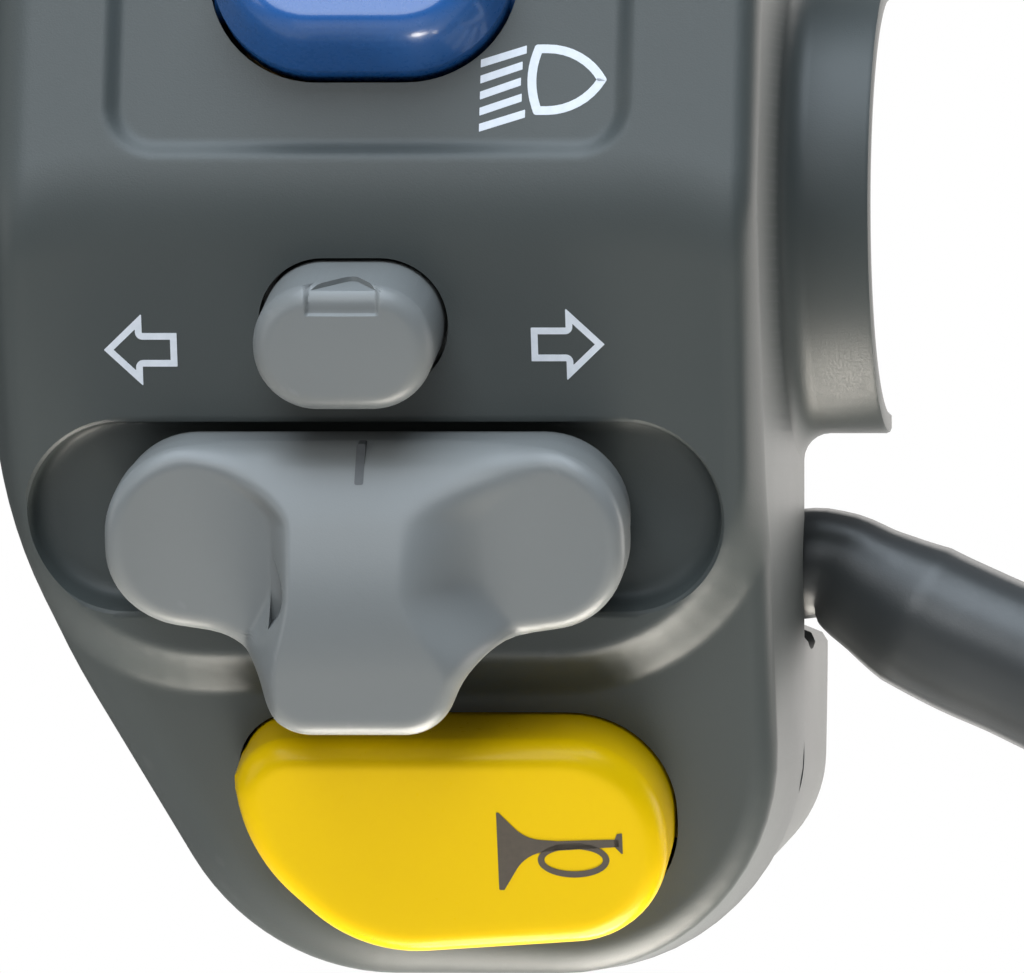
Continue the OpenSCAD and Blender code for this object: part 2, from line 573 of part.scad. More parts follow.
// Cable: leaves between the halves, hangs beside the housing and ends in a tied coil
cable_start = half_w - wall;
layer = cable_d + coil_gap;
coil_x = 16;
coil_z = -97;
lead_end_z = coil_z + cable_d;
lead_points = [[cable_start, 0, -cable_z], [cable_start + 0.9, 0, -cable_z], [23, 0, -21.15],
    [25.5, 0, -22.4], [28, 0, -23.65], [31, 0, -25], [34.5, 0, -26.5], [38.3, 0, -28.5], [42, 0, -31.2],
    [45.6, 0, -34.6], [48.9, 0, -38.6], [51.9, 0, -43.3], [54.4, 0, -48.7], [56.3, 0, -54.6],
    [57.5, 0, -60.8], [coil_x + coil_r, 0, -67], [coil_x + coil_r, 0, -73.4], [coil_x + coil_r, 0, -80],
    [coil_x + coil_r, 0, lead_end_z]];
function ease(t) = t * t * (3 - 2 * t);
function climb(a) = layer * ease(min(max((a - climb_from) / (climb_to - climb_from), 0), 1));
climb_from = 225;
climb_to = 355;
coil_turn = 540;
coil_step = 15;
function coil_point(a) = [coil_x + coil_r * cos(a), climb(a), coil_z - coil_r * sin(a)];
coil_path = concat([[coil_x + coil_r, 0, lead_end_z]], [for (a = [0:coil_step:coil_turn]) coil_point(a)],
    [[coil_x - coil_r, layer, lead_end_z]]);
coil_last = len(coil_path) - 1;
coil_self_gap = min([for (i = [0:coil_last], j = [i + 12:1:coil_last]) norm(coil_path[i] - coil_path[j])])
    - cable_d;
echo(least_gap_between_turns = coil_self_gap);

module cable_grommet() color("#26282a") translate([0, cable_y, -cable_z]) difference() {
    union() {
        along_bar(grommet_r - seat_gap, flange_x - 1, half_w - rear_inset);
        along_bar(grommet_r + 1.2, flange_x - 1, flange_x - seat_gap);
    }
    along_bar(cable_r + seat_gap, 0, body_w);
}
// The wires fan out behind the horn's base, down to the middle of the housing
bundle_r = 2.2;
bundle_y = rear_y / 3;
bundle_drop = 5;
function bundle_point(t) = [(cable_start - 0.2) * (1 - t), cable_y + (bundle_y - cable_y) * ease(t),
    -cable_z - bundle_drop * t * t];
module wire_bundle() color("#7a2f2a") tube([for (i = [0:8]) bundle_point(i / 8)], bundle_r, 8, [0, 0, 1]);
module cable_lead() color("#3f4344") translate([0, cable_y, 0]) tube(lead_points, cable_r, 10, [0, 1, 0]);
module cable_coil() color("#3f4344") translate([0, cable_y, 0]) tube(coil_path, cable_r, 6, [0, 1, 0]);
tie_t = 1.2;
tie_gap = 0.4;
tie_h = 4;
module band(grow) {
    for (y = [0, layer]) translate([0, y]) circle(cable_r + tie_gap + grow);
    translate([-cable_r - seat_gap - grow, 0]) square([2 * (cable_r + tie_gap + grow), layer]);
}
module cable_tie() color("#1f2122") translate([coil_x + coil_r, cable_y, coil_z])
    slab(-tie_h / 2, tie_h / 2) difference() {
        band(tie_t);
        band(0);
    }

// Connector at the end of the coil, with its blades facing up
plug_w = 15;
plug_d = 8.2;
plug_l = 24;
blade_pitch = 4;
blade_w = 2.8;
blade_t = 0.9;
blade_well = plug_l / 2;   // depth of the wells that the blades stand in
module plug_place() translate([coil_x - coil_r, cable_y + layer, lead_end_z]) children();
module blade_grid() for (x = [-1, 0, 1], y = [-0.5, 0.5])
    translate([x * blade_pitch, y * blade_pitch, 0]) children();
module connector_housing() color("#e6e4dc") plug_place() difference() {
    union() {
        slab(0, plug_l) plate(plug_w, plug_d, 1.4);
        translate([0, plug_d / 2 + 0.6, 0]) slab(plug_l / 2, plug_l - 2) plate(5, 3, 0.5);
    }
    blade_grid() slab(plug_l - blade_well, plug_l + over) plate(blade_w + 0.4, blade_t + 0.4, 0.1);
}
module connector_terminals() color("#c9a24a") plug_place() blade_grid()
    slab(plug_l - blade_well, plug_l - 2) plate(blade_w, blade_t, 0.1);

front_housing();
rear_housing();
clamp_screws();
dimmer_rocker();
dimmer_pin();
dimmer_spring();
dimmer_plunger();
dimmer_contacts();
dimmer_base();
dimmer_screws();
hazard_button();
hazard_spring();
hazard_bridge();
hazard_contacts();
hazard_base();
hazard_screws();
turn_knob();
turn_retaining_pin();
turn_cancel_spring();
turn_carriage();
turn_left_spring();
turn_right_spring();
turn_wiper();
turn_contacts();
turn_base();
turn_screws();
horn_button();
horn_spring();
horn_bridge();
horn_contacts();
horn_base();
horn_screws();
cable_grommet();
wire_bundle();
cable_lead();
cable_coil();
cable_tie();
connector_housing();
connector_terminals();
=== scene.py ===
import json
import math

import bpy
import numpy as np
from mathutils import Matrix, Vector

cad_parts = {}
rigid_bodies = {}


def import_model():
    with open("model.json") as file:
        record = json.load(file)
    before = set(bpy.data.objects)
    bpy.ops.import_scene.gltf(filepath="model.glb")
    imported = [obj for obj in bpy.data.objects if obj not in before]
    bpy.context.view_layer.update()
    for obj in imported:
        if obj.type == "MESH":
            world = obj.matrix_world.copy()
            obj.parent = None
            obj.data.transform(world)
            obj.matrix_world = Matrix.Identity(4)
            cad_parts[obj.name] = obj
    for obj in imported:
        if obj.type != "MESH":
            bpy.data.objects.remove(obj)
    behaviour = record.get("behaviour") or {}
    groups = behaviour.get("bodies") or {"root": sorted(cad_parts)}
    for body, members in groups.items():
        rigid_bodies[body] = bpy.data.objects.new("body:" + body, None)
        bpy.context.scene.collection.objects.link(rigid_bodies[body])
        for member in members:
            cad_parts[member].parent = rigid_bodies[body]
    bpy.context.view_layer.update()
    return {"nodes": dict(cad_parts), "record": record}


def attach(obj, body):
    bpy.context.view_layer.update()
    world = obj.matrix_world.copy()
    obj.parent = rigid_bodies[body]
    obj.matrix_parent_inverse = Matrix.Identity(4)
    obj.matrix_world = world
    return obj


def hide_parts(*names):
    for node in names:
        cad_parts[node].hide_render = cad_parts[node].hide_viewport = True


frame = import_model()
mm = 0.001
print("frame loaded:", len(frame["nodes"]), "nodes")


# small helpers for working by hand in object and edit mode
def deselectAll():
    bpy.ops.object.select_all(action="DESELECT")


def activate(piece):
    deselectAll()
    piece.select_set(True)
    bpy.context.view_layer.objects.active = piece


def editMode(piece, elements="VERT"):
    activate(piece)
    bpy.ops.object.mode_set(mode="EDIT")
    bpy.ops.mesh.select_mode(type=elements)
    bpy.ops.mesh.select_all(action="DESELECT")


def objectMode():
    bpy.ops.object.mode_set(mode="OBJECT")


def applyModifier(piece, kind, **settings):
    mod = piece.modifiers.new(kind.title(), kind)
    for key, value in settings.items():
        setattr(mod, key, value)
    activate(piece)
    bpy.ops.object.modifier_apply(modifier=mod.name)


# takes the cutter away from the piece, or joins it on with UNION, and clears the cutter up
def cutWith(piece, cutter, operation="DIFFERENCE"):
    applyModifier(piece, "BOOLEAN", object=cutter, operation=operation, solver="MANIFOLD")
    bpy.data.objects.remove(cutter, do_unlink=True)


def named(piece, name):
    piece.name = name
    piece.data.name = name
    return piece


def smoothByAngle(piece, degrees):
    activate(piece)
    bpy.ops.object.shade_smooth_by_angle(angle=math.radians(degrees))


def setCoords(piece, points):
    piece.data.vertices.foreach_set("co", np.asarray(points, dtype=np.float32).ravel())
    piece.data.update()


def getCoords(piece):
    points = np.empty(len(piece.data.vertices) * 3, dtype=np.float32)
    piece.data.vertices.foreach_get("co", points)
    return points.reshape(-1, 3).astype(float)


def recalcOutside(piece):
    editMode(piece)
    bpy.ops.mesh.select_all(action="SELECT")
    bpy.ops.mesh.normals_make_consistent(inside=False)
    objectMode()


# a corner, the directions to its neighbours, the direction between those, and half their angle
def cornerFrame(corners, i):
    p = np.array(corners[i][:2], float)
    a = np.array(corners[i - 1][:2], float) - p
    b = np.array(corners[(i + 1) % len(corners)][:2], float) - p
    a /= np.linalg.norm(a)
    b /= np.linalg.norm(b)
    half = math.acos(max(-1.0, min(1.0, float(a @ b)))) / 2
    return p, a, b, (a + b) / np.linalg.norm(a + b), half


# outlines are corners (x, y, radius) in millimetres, counter-clockwise
def roundedOutline(corners, steps=14):
    points = []
    for i, (x, y, r) in enumerate(corners):
        p, a, b, inward, half = cornerFrame(corners, i)
        middle = p + inward * r / math.sin(half)
        start = p + a * r / math.tan(half) - middle
        end = p + b * r / math.tan(half) - middle
        a0 = math.atan2(start[1], start[0])
        sweep = (math.atan2(end[1], end[0]) - a0 + math.pi) % (2 * math.pi) - math.pi
        for k in range(steps + 1):
            angle = a0 + sweep * k / steps
            points.append(middle + r * np.array([math.cos(angle), math.sin(angle)]))
    return np.array(points)


# corners moved inwards by d, their radii kept concentric; a negative d grows the outline
def insetCorners(corners, d, smallestRadius=0.02):
    moved = []
    for i, (x, y, r) in enumerate(corners):
        p, a, b, inward, half = cornerFrame(corners, i)
        side = 1 if b[0] * a[1] - b[1] * a[0] > 0 else -1
        q = p + inward * side * d / math.sin(half)
        moved.append((q[0], q[1], max(r - side * d, smallestRadius)))
    return moved


def boxCorners(w, h, r, x=0.0, y=0.0):
    return [(x + sx * w / 2, y + sy * h / 2, r) for sx, sy in ((-1, -1), (1, -1), (1, 1), (-1, 1))]


def roundedBox(w, h, r, x=0.0, y=0.0, steps=14):
    return roundedOutline(boxCorners(w, h, r, x, y), steps)


# a shape's corners, given from a point, moved to where that point is
def cornersAt(x, y, shape):
    return [(x + a, y + b, r) for a, b, r in shape]


# distance of points to an outline, positive inside
def insideDistance(points, outline):
    a = outline
    b = np.roll(outline, -1, axis=0)
    keep = np.linalg.norm(b - a, axis=1) > 1e-9
    a, b = a[keep], b[keep]
    best = np.full(len(points), np.inf)
    inside = np.zeros(len(points), bool)
    for p, q in zip(a, b):
        edge = q - p
        t = np.clip(((points - p) @ edge) / (edge @ edge), 0, 1)
        best = np.minimum(best, np.linalg.norm(points - p - t[:, None] * edge, axis=1))
        crosses = (p[1] > points[:, 1]) != (q[1] > points[:, 1])
        if p[1] != q[1]:
            xAt = p[0] + (points[:, 1] - p[1]) * edge[0] / edge[1]
            inside ^= crosses & (points[:, 0] < xAt)
    return np.where(inside, best, -best)


# left and right end of an outline at height y
def rowSpan(outline, y):
    xs = []
    for p, q in zip(outline, np.roll(outline, -1, axis=0)):
        if (p[1] - y) * (q[1] - y) <= 0 and p[1] != q[1]:
            xs.append(p[0] + (y - p[1]) * (q[0] - p[0]) / (q[1] - p[1]))
    return min(xs), max(xs)


# places from lo to hi, close together near both ends where the edge is rounded
def clustered(lo, hi, edge, edgeSteps, step):
    ends = [edge * (1 - math.cos(math.pi / 2 * k / edgeSteps)) for k in range(edgeSteps)]
    middle = np.linspace(lo + edge, hi - edge, max(2, round((hi - lo - 2 * edge) / step) + 1))
    return np.array([lo + e for e in ends] + list(middle) + [hi - e for e in reversed(ends)])


def smoothStep(lo, hi, x):
    t = np.clip((x - lo) / (hi - lo), 0, 1)
    return t * t * (3 - 2 * t)


# the lower of two heights, blended over k where they meet
def softMin(a, b, k):
    h = np.clip(0.5 + 0.5 * (b - a) / k, 0, 1)
    return b * (1 - h) + a * h - k * h * (1 - h)


# how far a rounded edge of radius r has dropped at a distance d from the rim
def roundEdge(d, r):
    inner = np.clip(r - d, 0, r)
    return r - np.sqrt(np.maximum(r * r - inner * inner, 0))


# the grid's columns for an outline that narrows: those within the core's half width stay straight,
# and where a row is too narrow the core keeps a share of it
def coreColumns(share, left, right, width, core, widest=0.92):
    half = np.minimum(core, widest * np.minimum(right, -left))
    first = 0.5 - core / width
    onLeft = left - (half + left) * share / first
    onRight = right - (right - half) * (1 - share) / first
    onCore = half * (share - 0.5) * width / core
    return np.where(share < first, onLeft, np.where(share > 1 - first, onRight, onCore))


# a block with the given outline: its top is a grid pulled to height(x, y, d), its sides drop to low;
# mesh gives the rounded edge's width, the rows across it and the spacing elsewhere
def gridBlock(name, outline, height, low, mesh, place, core=0.0, nudge=1e-4):
    lowY, highY = outline[:, 1].min(), outline[:, 1].max()
    rows = clustered(lowY, highY, *mesh)
    width = outline[:, 0].max() - outline[:, 0].min()
    cols = clustered(0, width, *mesh) / width
    nx, ny = len(cols) - 1, len(rows) - 1
    deselectAll()
    bpy.ops.mesh.primitive_grid_add(x_subdivisions=nx, y_subdivisions=ny, size=2)
    piece = named(bpy.context.active_object, name)
    flat = getCoords(piece)
    i = np.rint((flat[:, 0] + 1) / 2 * nx).astype(int)
    j = np.rint((flat[:, 1] + 1) / 2 * ny).astype(int)
    spans = np.array([rowSpan(outline, min(max(y, lowY + nudge), highY - nudge)) for y in rows])
    left, right = spans[j, 0], spans[j, 1]
    x = left + (right - left) * cols[i]
    if core:
        x = coreColumns(cols[i], left, right, width, core)
    y = rows[j]
    d = np.maximum(insideDistance(np.column_stack([x, y]), outline), 0)
    rim = (i == 0) | (i == nx) | (j == 0) | (j == ny)
    d[rim] = 0
    setCoords(piece, np.column_stack([x, y, height(x, y, d)]))
    editMode(piece, "EDGE")
    bpy.ops.mesh.select_non_manifold(extend=False, use_wire=False, use_boundary=True,
                                     use_multi_face=False, use_non_contiguous=False, use_verts=False)
    bpy.ops.mesh.extrude_edges_move()
    bpy.ops.mesh.edge_face_add()
    objectMode()
    points = getCoords(piece)
    points[len(flat):, 2] = low
    setCoords(piece, points)
    toPlace(piece, place)
    recalcOutside(piece)
    return piece


# moves a mesh drawn in millimetres on a face to its place in the frame, in metres
def toPlace(piece, place):
    points = getCoords(piece)
    homog = np.column_stack([points, np.ones(len(points))])
    setCoords(piece, (homog @ np.array(place).T)[:, :3] * mm)


# a solid through rings of equal count, each an outline and its height
def loft(name, rings, place):
    first = rings[0][0]
    deselectAll()
    bpy.ops.mesh.primitive_circle_add(vertices=len(first), radius=1, fill_type="NGON")
    piece = named(bpy.context.active_object, name)
    setCoords(piece, np.column_stack([first, np.zeros(len(first))]))
    editMode(piece, "FACE")
    bpy.ops.mesh.select_all(action="SELECT")
    for ring in rings[1:]:
        bpy.ops.mesh.extrude_region_move(TRANSFORM_OT_translate={"value": (0, 0, 1)})
    objectMode()
    drawn = getCoords(piece)
    layer = np.rint(drawn[:, 2]).astype(int)
    spot = np.linalg.norm(drawn[:, None, :2] - first[None], axis=2).argmin(axis=1)
    setCoords(piece, [(*rings[k][0][i], rings[k][1]) for k, i in zip(layer, spot)])
    toPlace(piece, place)
    recalcOutside(piece)
    return piece


# a straight prism of an outline between two heights
def prism(name, outline, low, high, place):
    return loft(name, [(outline, low), (outline, high)], place)


# round bar between two points given in millimetres on a place
def roundBar(name, radius, start, end, place=Matrix.Identity(4), sides=96):
    start, end = place @ Vector(start) * mm, place @ Vector(end) * mm
    turn = (end - start).to_track_quat("Z", "Y")
    deselectAll()
    bpy.ops.mesh.primitive_cylinder_add(vertices=sides, radius=radius * mm, depth=(end - start).length,
                                        location=(start + end) / 2, rotation=turn.to_euler())
    bpy.ops.object.transform_apply(location=True, rotation=True, scale=True)
    return named(bpy.context.active_object, name)


# round bar that stands square on a face, between two heights
def post(name, radius, low, high, place, sides, at=(0, 0)):
    return roundBar(name, radius, (*at, low), (*at, high), place, sides)


# faces that carry the controls, as in the solids: x along the bar, y up the face, z outwards
body = {"creaseY": 27.0, "upperTilt": 14.0, "lowerTilt": 15.0, "hornTilt": 20.0, "ledgeZ": 25.4,
        "ledgeStep": 3.6, "ledgeDrop": 2.6, "halfWidth": 22.0, "barRadius": 11.1, "saddleRadius": 12.9,
        "collarEnd": 27.0, "rearY": 16.0, "rockerAt": (-0.4, 13.7, 0), "hazardAt": (-0.8, -7.1, 0),
        "sliderAt": (0, -18.2, 0), "hornAt": (3.9, -0.9, 0)}
slope = {side: math.tan(math.radians(body[side + "Tilt"])) for side in ("upper", "lower", "horn")}
body["hornY"] = body["creaseY"] - body["ledgeZ"] * slope["lower"] - body["ledgeStep"]
body["hornZ"] = body["ledgeZ"] + body["ledgeDrop"]


def facePlace(y, z, lean):
    return Matrix.Translation((0, -y, z)) @ Matrix.Rotation(math.radians(90 + lean), 4, "X")


upperFace = facePlace(body["creaseY"], 0, -body["upperTilt"])
lowerFace = facePlace(body["creaseY"], 0, body["lowerTilt"])
frontView = facePlace(0, 0, 0)
rearView = Matrix.Rotation(math.radians(180), 4, "Z") @ frontView
rockerFace = upperFace @ Matrix.Translation(body["rockerAt"])
hazardFace = lowerFace @ Matrix.Translation(body["hazardAt"])
turnFace = lowerFace @ Matrix.Translation(body["sliderAt"])
hornFace = facePlace(body["hornY"], -body["hornZ"], body["hornTilt"]) @ Matrix.Translation(body["hornAt"])


# camera at the photograph's angle: a long lens a little to the right of square on
camera = {"turn": 6.6, "distance": 1.5, "mmPerPixel": 0.057, "width": 1024, "height": 973,
          "axisPixel": (420.5, 207.0), "sensor": 36, "clip": (0.01, 50)}


def makeCamera():
    turn = math.radians(camera["turn"])
    right = Vector((math.cos(turn), math.sin(turn), 0))
    forward = Vector((-math.sin(turn), math.cos(turn), 0))
    offX = (camera["width"] / 2 - camera["axisPixel"][0]) * camera["mmPerPixel"] * mm
    offZ = (camera["axisPixel"][1] - camera["height"] / 2) * camera["mmPerPixel"] * mm
    deselectAll()
    bpy.ops.object.camera_add(location=right * offX + Vector((0, 0, offZ)) - forward * camera["distance"],
                              rotation=(math.radians(90), 0, turn))
    cam = bpy.context.active_object
    cam.data.sensor_width = camera["sensor"]
    cam.data.lens = camera["sensor"] * camera["distance"] / (camera["width"] * camera["mmPerPixel"] * mm)
    cam.data.clip_start, cam.data.clip_end = camera["clip"]
    bpy.context.scene.camera = cam


makeCamera()
print("camera set")

# studio: pale floor well below the hanging coil, soft lights, pale surroundings
studio = {"floorZ": -0.5, "floorSize": 8.0, "floorColour": (0.66, 0.66, 0.65, 1), "floorRough": 0.9,
          "sky": (0.94, 0.97, 1.0, 1), "skyPower": 0.13, "backdrop": (1.0, 1.0, 1.0, 1)}
lamps = [
    {"name": "topSoft", "at": (0.0, -0.36, 0.76), "size": 0.8, "power": 10.0, "colour": (0.79, 0.895, 1.0)},
    {"name": "frontSoft", "at": (-0.1, -0.85, 0.38), "size": 0.4, "power": 2.3, "colour": (0.93, 0.97, 1.0)},
    {"name": "leftFill", "at": (-0.66, -0.42, 0.06), "size": 0.5, "power": 1.2, "colour": (1.0, 0.98, 0.95)},
    {"name": "lowFront", "at": (0.0, -0.46, -0.36), "size": 0.4, "power": 0.2, "colour": (1.0, 0.96, 0.9)},
    {"name": "lowBounce", "at": (0.045, 0.05, -0.3), "size": 0.2, "power": 2.8, "colour": (1.0, 0.94, 0.84)},
    {"name": "rightSoft", "at": (0.5, 0.18, -0.01), "size": 0.3, "power": 1.1, "colour": (1.0, 0.95, 0.9)},
    {"name": "backGlow", "at": (0.35, 1.1, 0.0), "size": 1.6, "power": 15.0, "colour": (1.0, 0.965, 0.925)},
]


def makeFloor():
    deselectAll()
    bpy.ops.mesh.primitive_plane_add(size=studio["floorSize"], location=(0, 0, studio["floorZ"]))
    floor = named(bpy.context.active_object, "floor")
    bpy.ops.object.transform_apply(location=True, rotation=True, scale=True)
    paint = bpy.data.materials.new("floorPale")
    paint.use_nodes = True
    shader = paint.node_tree.nodes["Principled BSDF"]
    shader.inputs["Base Color"].default_value = studio["floorColour"]
    shader.inputs["Roughness"].default_value = studio["floorRough"]
    floor.data.materials.append(paint)


# the surroundings light the object softly, and the camera sees plain white behind it
def makeSky():
    world = bpy.data.worlds.new("paleSky")
    bpy.context.scene.world = world
    world.use_nodes = True
    tree = world.node_tree
    room = tree.nodes["Background"]
    room.inputs["Color"].default_value = studio["sky"]
    room.inputs["Strength"].default_value = studio["skyPower"]
    behind = tree.nodes.new("ShaderNodeBackground")
    behind.inputs["Color"].default_value = studio["backdrop"]
    ray = tree.nodes.new("ShaderNodeLightPath")
    either = tree.nodes.new("ShaderNodeMixShader")
    tree.links.new(ray.outputs["Is Camera Ray"], either.inputs["Fac"])
    tree.links.new(room.outputs["Background"], either.inputs[1])
    tree.links.new(behind.outputs["Background"], either.inputs[2])
    tree.links.new(either.outputs["Shader"], tree.nodes["World Output"].inputs["Surface"])


# soft area lights, each turned to the handlebar's axis
def makeLamps():
    for lamp in lamps:
        light = bpy.data.lights.new(lamp["name"], "AREA")
        light.size = lamp["size"]
        light.energy = lamp["power"]
        light.color = lamp["colour"]
        holder = bpy.data.objects.new(lamp["name"], light)
        bpy.context.scene.collection.objects.link(holder)
        holder.location = lamp["at"]
        holder.rotation_euler = (-Vector(lamp["at"])).to_track_quat("-Z", "Y").to_euler()
        holder.visible_camera = False


makeFloor()
makeSky()
makeLamps()
bpy.context.scene.view_settings.view_transform = "Standard"
print("studio set")


# shader maths: a wrapped socket adds its Math nodes when it is used in an expression
class Wire:
    def __init__(self, tree, socket):
        self.tree = tree
        self.socket = socket

    def node(self, kind, settings=None, outlet=0, **inputs):
        made = self.tree.nodes.new(kind)
        for key, value in (settings or {}).items():
            setattr(made, key, value)
        for key, value in inputs.items():
            slot = int(key[1:]) if key[0] == "i" and key[1:].isdigit() else key.replace("_", " ")
            if isinstance(value, Wire):
                self.tree.links.new(value.socket, made.inputs[slot])
            else:
                made.inputs[slot].default_value = value
        return Wire(self.tree, made.outputs[outlet])

    def maths(self, operation, other, swap=False):
        first, second = (other, self) if swap else (self, other)
        return self.node("ShaderNodeMath", {"operation": operation}, i0=first, i1=second)

    def __add__(self, other):
        return self.maths("ADD", other)

    def __radd__(self, other):
        return self.maths("ADD", other, True)

    def __sub__(self, other):
        return self.maths("SUBTRACT", other)

    def __rsub__(self, other):
        return self.maths("SUBTRACT", other, True)

    def __mul__(self, other):
        return self.maths("MULTIPLY", other)

    def __rmul__(self, other):
        return self.maths("MULTIPLY", other, True)

    def noise(self, scale, detail, rough):
        return self.node("ShaderNodeTexNoise", Vector=self, Scale=scale, Detail=detail, Roughness=rough)

    # this value's stretch from lo to hi, drawn out from 0 to top
    def stretch(self, lo, hi, top):
        return self.node("ShaderNodeMapRange", Value=self, From_Min=lo, From_Max=hi, To_Min=0.0, To_Max=top)

    def bump(self, strength, distance):
        return self.node("ShaderNodeBump", Height=self, Strength=strength, Distance=distance)

    def blendColour(self, low, high):
        return self.node("ShaderNodeMix", {"data_type": "RGBA"}, 2, i0=self, i6=low, i7=high)


def newFinish(name):
    paint = bpy.data.materials.new(name)
    paint.use_nodes = True
    tree = paint.node_tree
    shader = tree.nodes["Principled BSDF"]
    places = tree.nodes.new("ShaderNodeTexCoord")
    return paint, shader, Wire(tree, places.outputs["Object"])


def joinTo(shader, **inputs):
    for key, value in inputs.items():
        slot = shader.inputs[key.replace("_", " ")]
        if isinstance(value, Wire):
            value.tree.links.new(value.socket, slot)
        else:
            slot.default_value = value


# moulded plastic: fine spark-eroded grain, slow colour drift, and convex edges made paler as a painted edge
# highlight
moulding = {"fineDetail": 3.0, "fineRough": 0.6, "slowScale": 90.0, "slowDetail": 4.0, "slowRough": 0.55,
            "drift": (0.3, 0.7, 0.12), "edgeHighlight": (0.52, 0.62, 0.5), "fineGloss": 0.12, "slowGloss": 0.08,
            "glossMiddle": 0.1, "bumpDistance": 0.00012, "coatRough": 0.08}
# each plastic's second, paler colour serves both its slow colour drift and the painted edge highlight
plastics = {
    "housing": {
        "name": "housingGrain", "colour": (0.053, 0.062, 0.061, 1), "paleDriftAndHighlight": (0.068, 0.076, 0.076, 1),
        "rough": 0.46, "grain": 9000.0, "grainHeight": 0.1,
    },
    # painted light: the rear half is a copy of the housing plastic made a little paler, to brighten its lit
    # lower wall
    "rear": {
        "name": "rearPaintedLightGrain", "colour": (0.062, 0.068, 0.067, 1), "paleDriftAndHighlight": (0.078, 0.084, 0.083, 1),
        "rough": 0.46, "grain": 9000.0, "grainHeight": 0.1,
    },
    "grey_knob": {
        "name": "greyKnob", "colour": (0.194, 0.205, 0.206, 1), "paleDriftAndHighlight": (0.22, 0.231, 0.233, 1),
        "rough": 0.38, "grain": 9000.0, "grainHeight": 0.06,
    },
    "blue_rocker": {
        "name": "blueGloss", "colour": (0.02, 0.118, 0.385, 1), "paleDriftAndHighlight": (0.028, 0.135, 0.41, 1),
        "rough": 0.28, "grain": 2600.0, "grainHeight": 0.02, "coat": 0.45,
    },
    "yellow_horn": {
        "name": "yellowGloss", "colour": (0.8, 0.525, 0.0, 1), "paleDriftAndHighlight": (0.82, 0.545, 0.0, 1),
        "rough": 0.3, "grain": 2600.0, "grainHeight": 0.02, "coat": 0.03, "shine": 0.15,
    },
    "black_plastic": {
        "name": "blackPlastic", "colour": (0.02, 0.021, 0.022, 1), "paleDriftAndHighlight": (0.04, 0.041, 0.042, 1),
        "rough": 0.45, "grain": 6000.0, "grainHeight": 0.12,
    },
    "phenolic": {
        "name": "phenolicBoard", "colour": (0.05, 0.028, 0.015, 1), "paleDriftAndHighlight": (0.08, 0.05, 0.03, 1),
        "rough": 0.5, "grain": 3000.0, "grainHeight": 0.2,
    },
    "cable_sleeve": {
        "name": "cableSleeve", "colour": (0.044, 0.048, 0.05, 1), "paleDriftAndHighlight": (0.057, 0.061, 0.063, 1),
        "rough": 0.38, "grain": 5000.0, "grainHeight": 0.06, "shine": 0.7,
    },
    "wire": {
        "name": "redWire", "colour": (0.25, 0.03, 0.02, 1), "paleDriftAndHighlight": (0.3, 0.05, 0.04, 1),
        "rough": 0.4, "grain": 3000.0, "grainHeight": 0.1,
    },
    "connector_white": {
        "name": "naturalNylon", "colour": (0.66, 0.64, 0.57, 1), "paleDriftAndHighlight": (0.74, 0.72, 0.66, 1),
        "rough": 0.38, "grain": 3000.0, "grainHeight": 0.1,
    },
}


def mouldedPlastic(name, colour, paleDriftAndHighlight, rough, grain, grainHeight, coat=0.0, shine=0.5):
    paint, shader, at = newFinish(name)
    fine = at.noise(grain, moulding["fineDetail"], moulding["fineRough"])
    slow = at.noise(moulding["slowScale"], moulding["slowDetail"], moulding["slowRough"])
    tone = slow.stretch(*moulding["drift"])
    # painted highlight: convex edges, picked out by pointiness, are blended towards the paler colour
    edgeHighlight = at.node("ShaderNodeNewGeometry", None, "Pointiness").stretch(*moulding["edgeHighlight"])
    gloss = fine * moulding["fineGloss"] + slow * moulding["slowGloss"] + (rough - moulding["glossMiddle"])
    joinTo(shader, Base_Color=edgeHighlight.blendColour(tone.blendColour(colour, paleDriftAndHighlight), paleDriftAndHighlight), Roughness=gloss,
           Normal=fine.bump(grainHeight, moulding["bumpDistance"]))
    joinTo(shader, Specular_IOR_Level=shine, Coat_Weight=coat, Coat_Roughness=moulding["coatRough"])
    return paint


# metal of pins, springs and contacts, brushed and a little tarnished
brushing = {"scale": 1400.0, "detail": 3.0, "rough": 0.7, "gloss": 0.2, "bump": 0.1, "bumpDistance": 0.00005}
metals = {
    "brass": {"name": "brassStrip", "colour": (0.68, 0.46, 0.18, 1), "dark": (0.42, 0.27, 0.1, 1),
              "rough": 0.25},
    "steel": {"name": "zincSteel", "colour": (0.66, 0.67, 0.69, 1), "dark": (0.42, 0.43, 0.45, 1),
              "rough": 0.28},
}


def plainMetal(name, colour, dark, rough):
    paint, shader, at = newFinish(name)
    streak = at.noise(brushing["scale"], brushing["detail"], brushing["rough"])
    joinTo(shader, Base_Color=streak.blendColour(dark, colour), Roughness=streak * brushing["gloss"] + rough,
           Normal=streak.bump(brushing["bump"], brushing["bumpDistance"]), Metallic=1.0)
    return paint


# printing inks of the marks, a little uneven, and the slider tick's dark grey, which is painted shade rather
# than ink
markNoise = {"scale": 2500.0, "detail": 3.0, "rough": 0.6, "gloss": 0.2}
markFinishes = {
    "white_print": {"name": "whitePrint", "dark": (0.66, 0.7, 0.76, 1), "light": (0.84, 0.87, 0.93, 1),
                    "rough": 0.4},
    "dark_print": {"name": "darkPrint", "dark": (0.06, 0.048, 0.035, 1), "light": (0.1, 0.08, 0.06, 1),
                   "rough": 0.35},
    # painted shade: the tick's dark grey stands in for the shade inside an engraved groove
    "painted_groove_shade": {"name": "tickShade", "dark": (0.06, 0.064, 0.068, 1), "light": (0.1, 0.105, 0.11, 1),
                   "rough": 0.35},
}


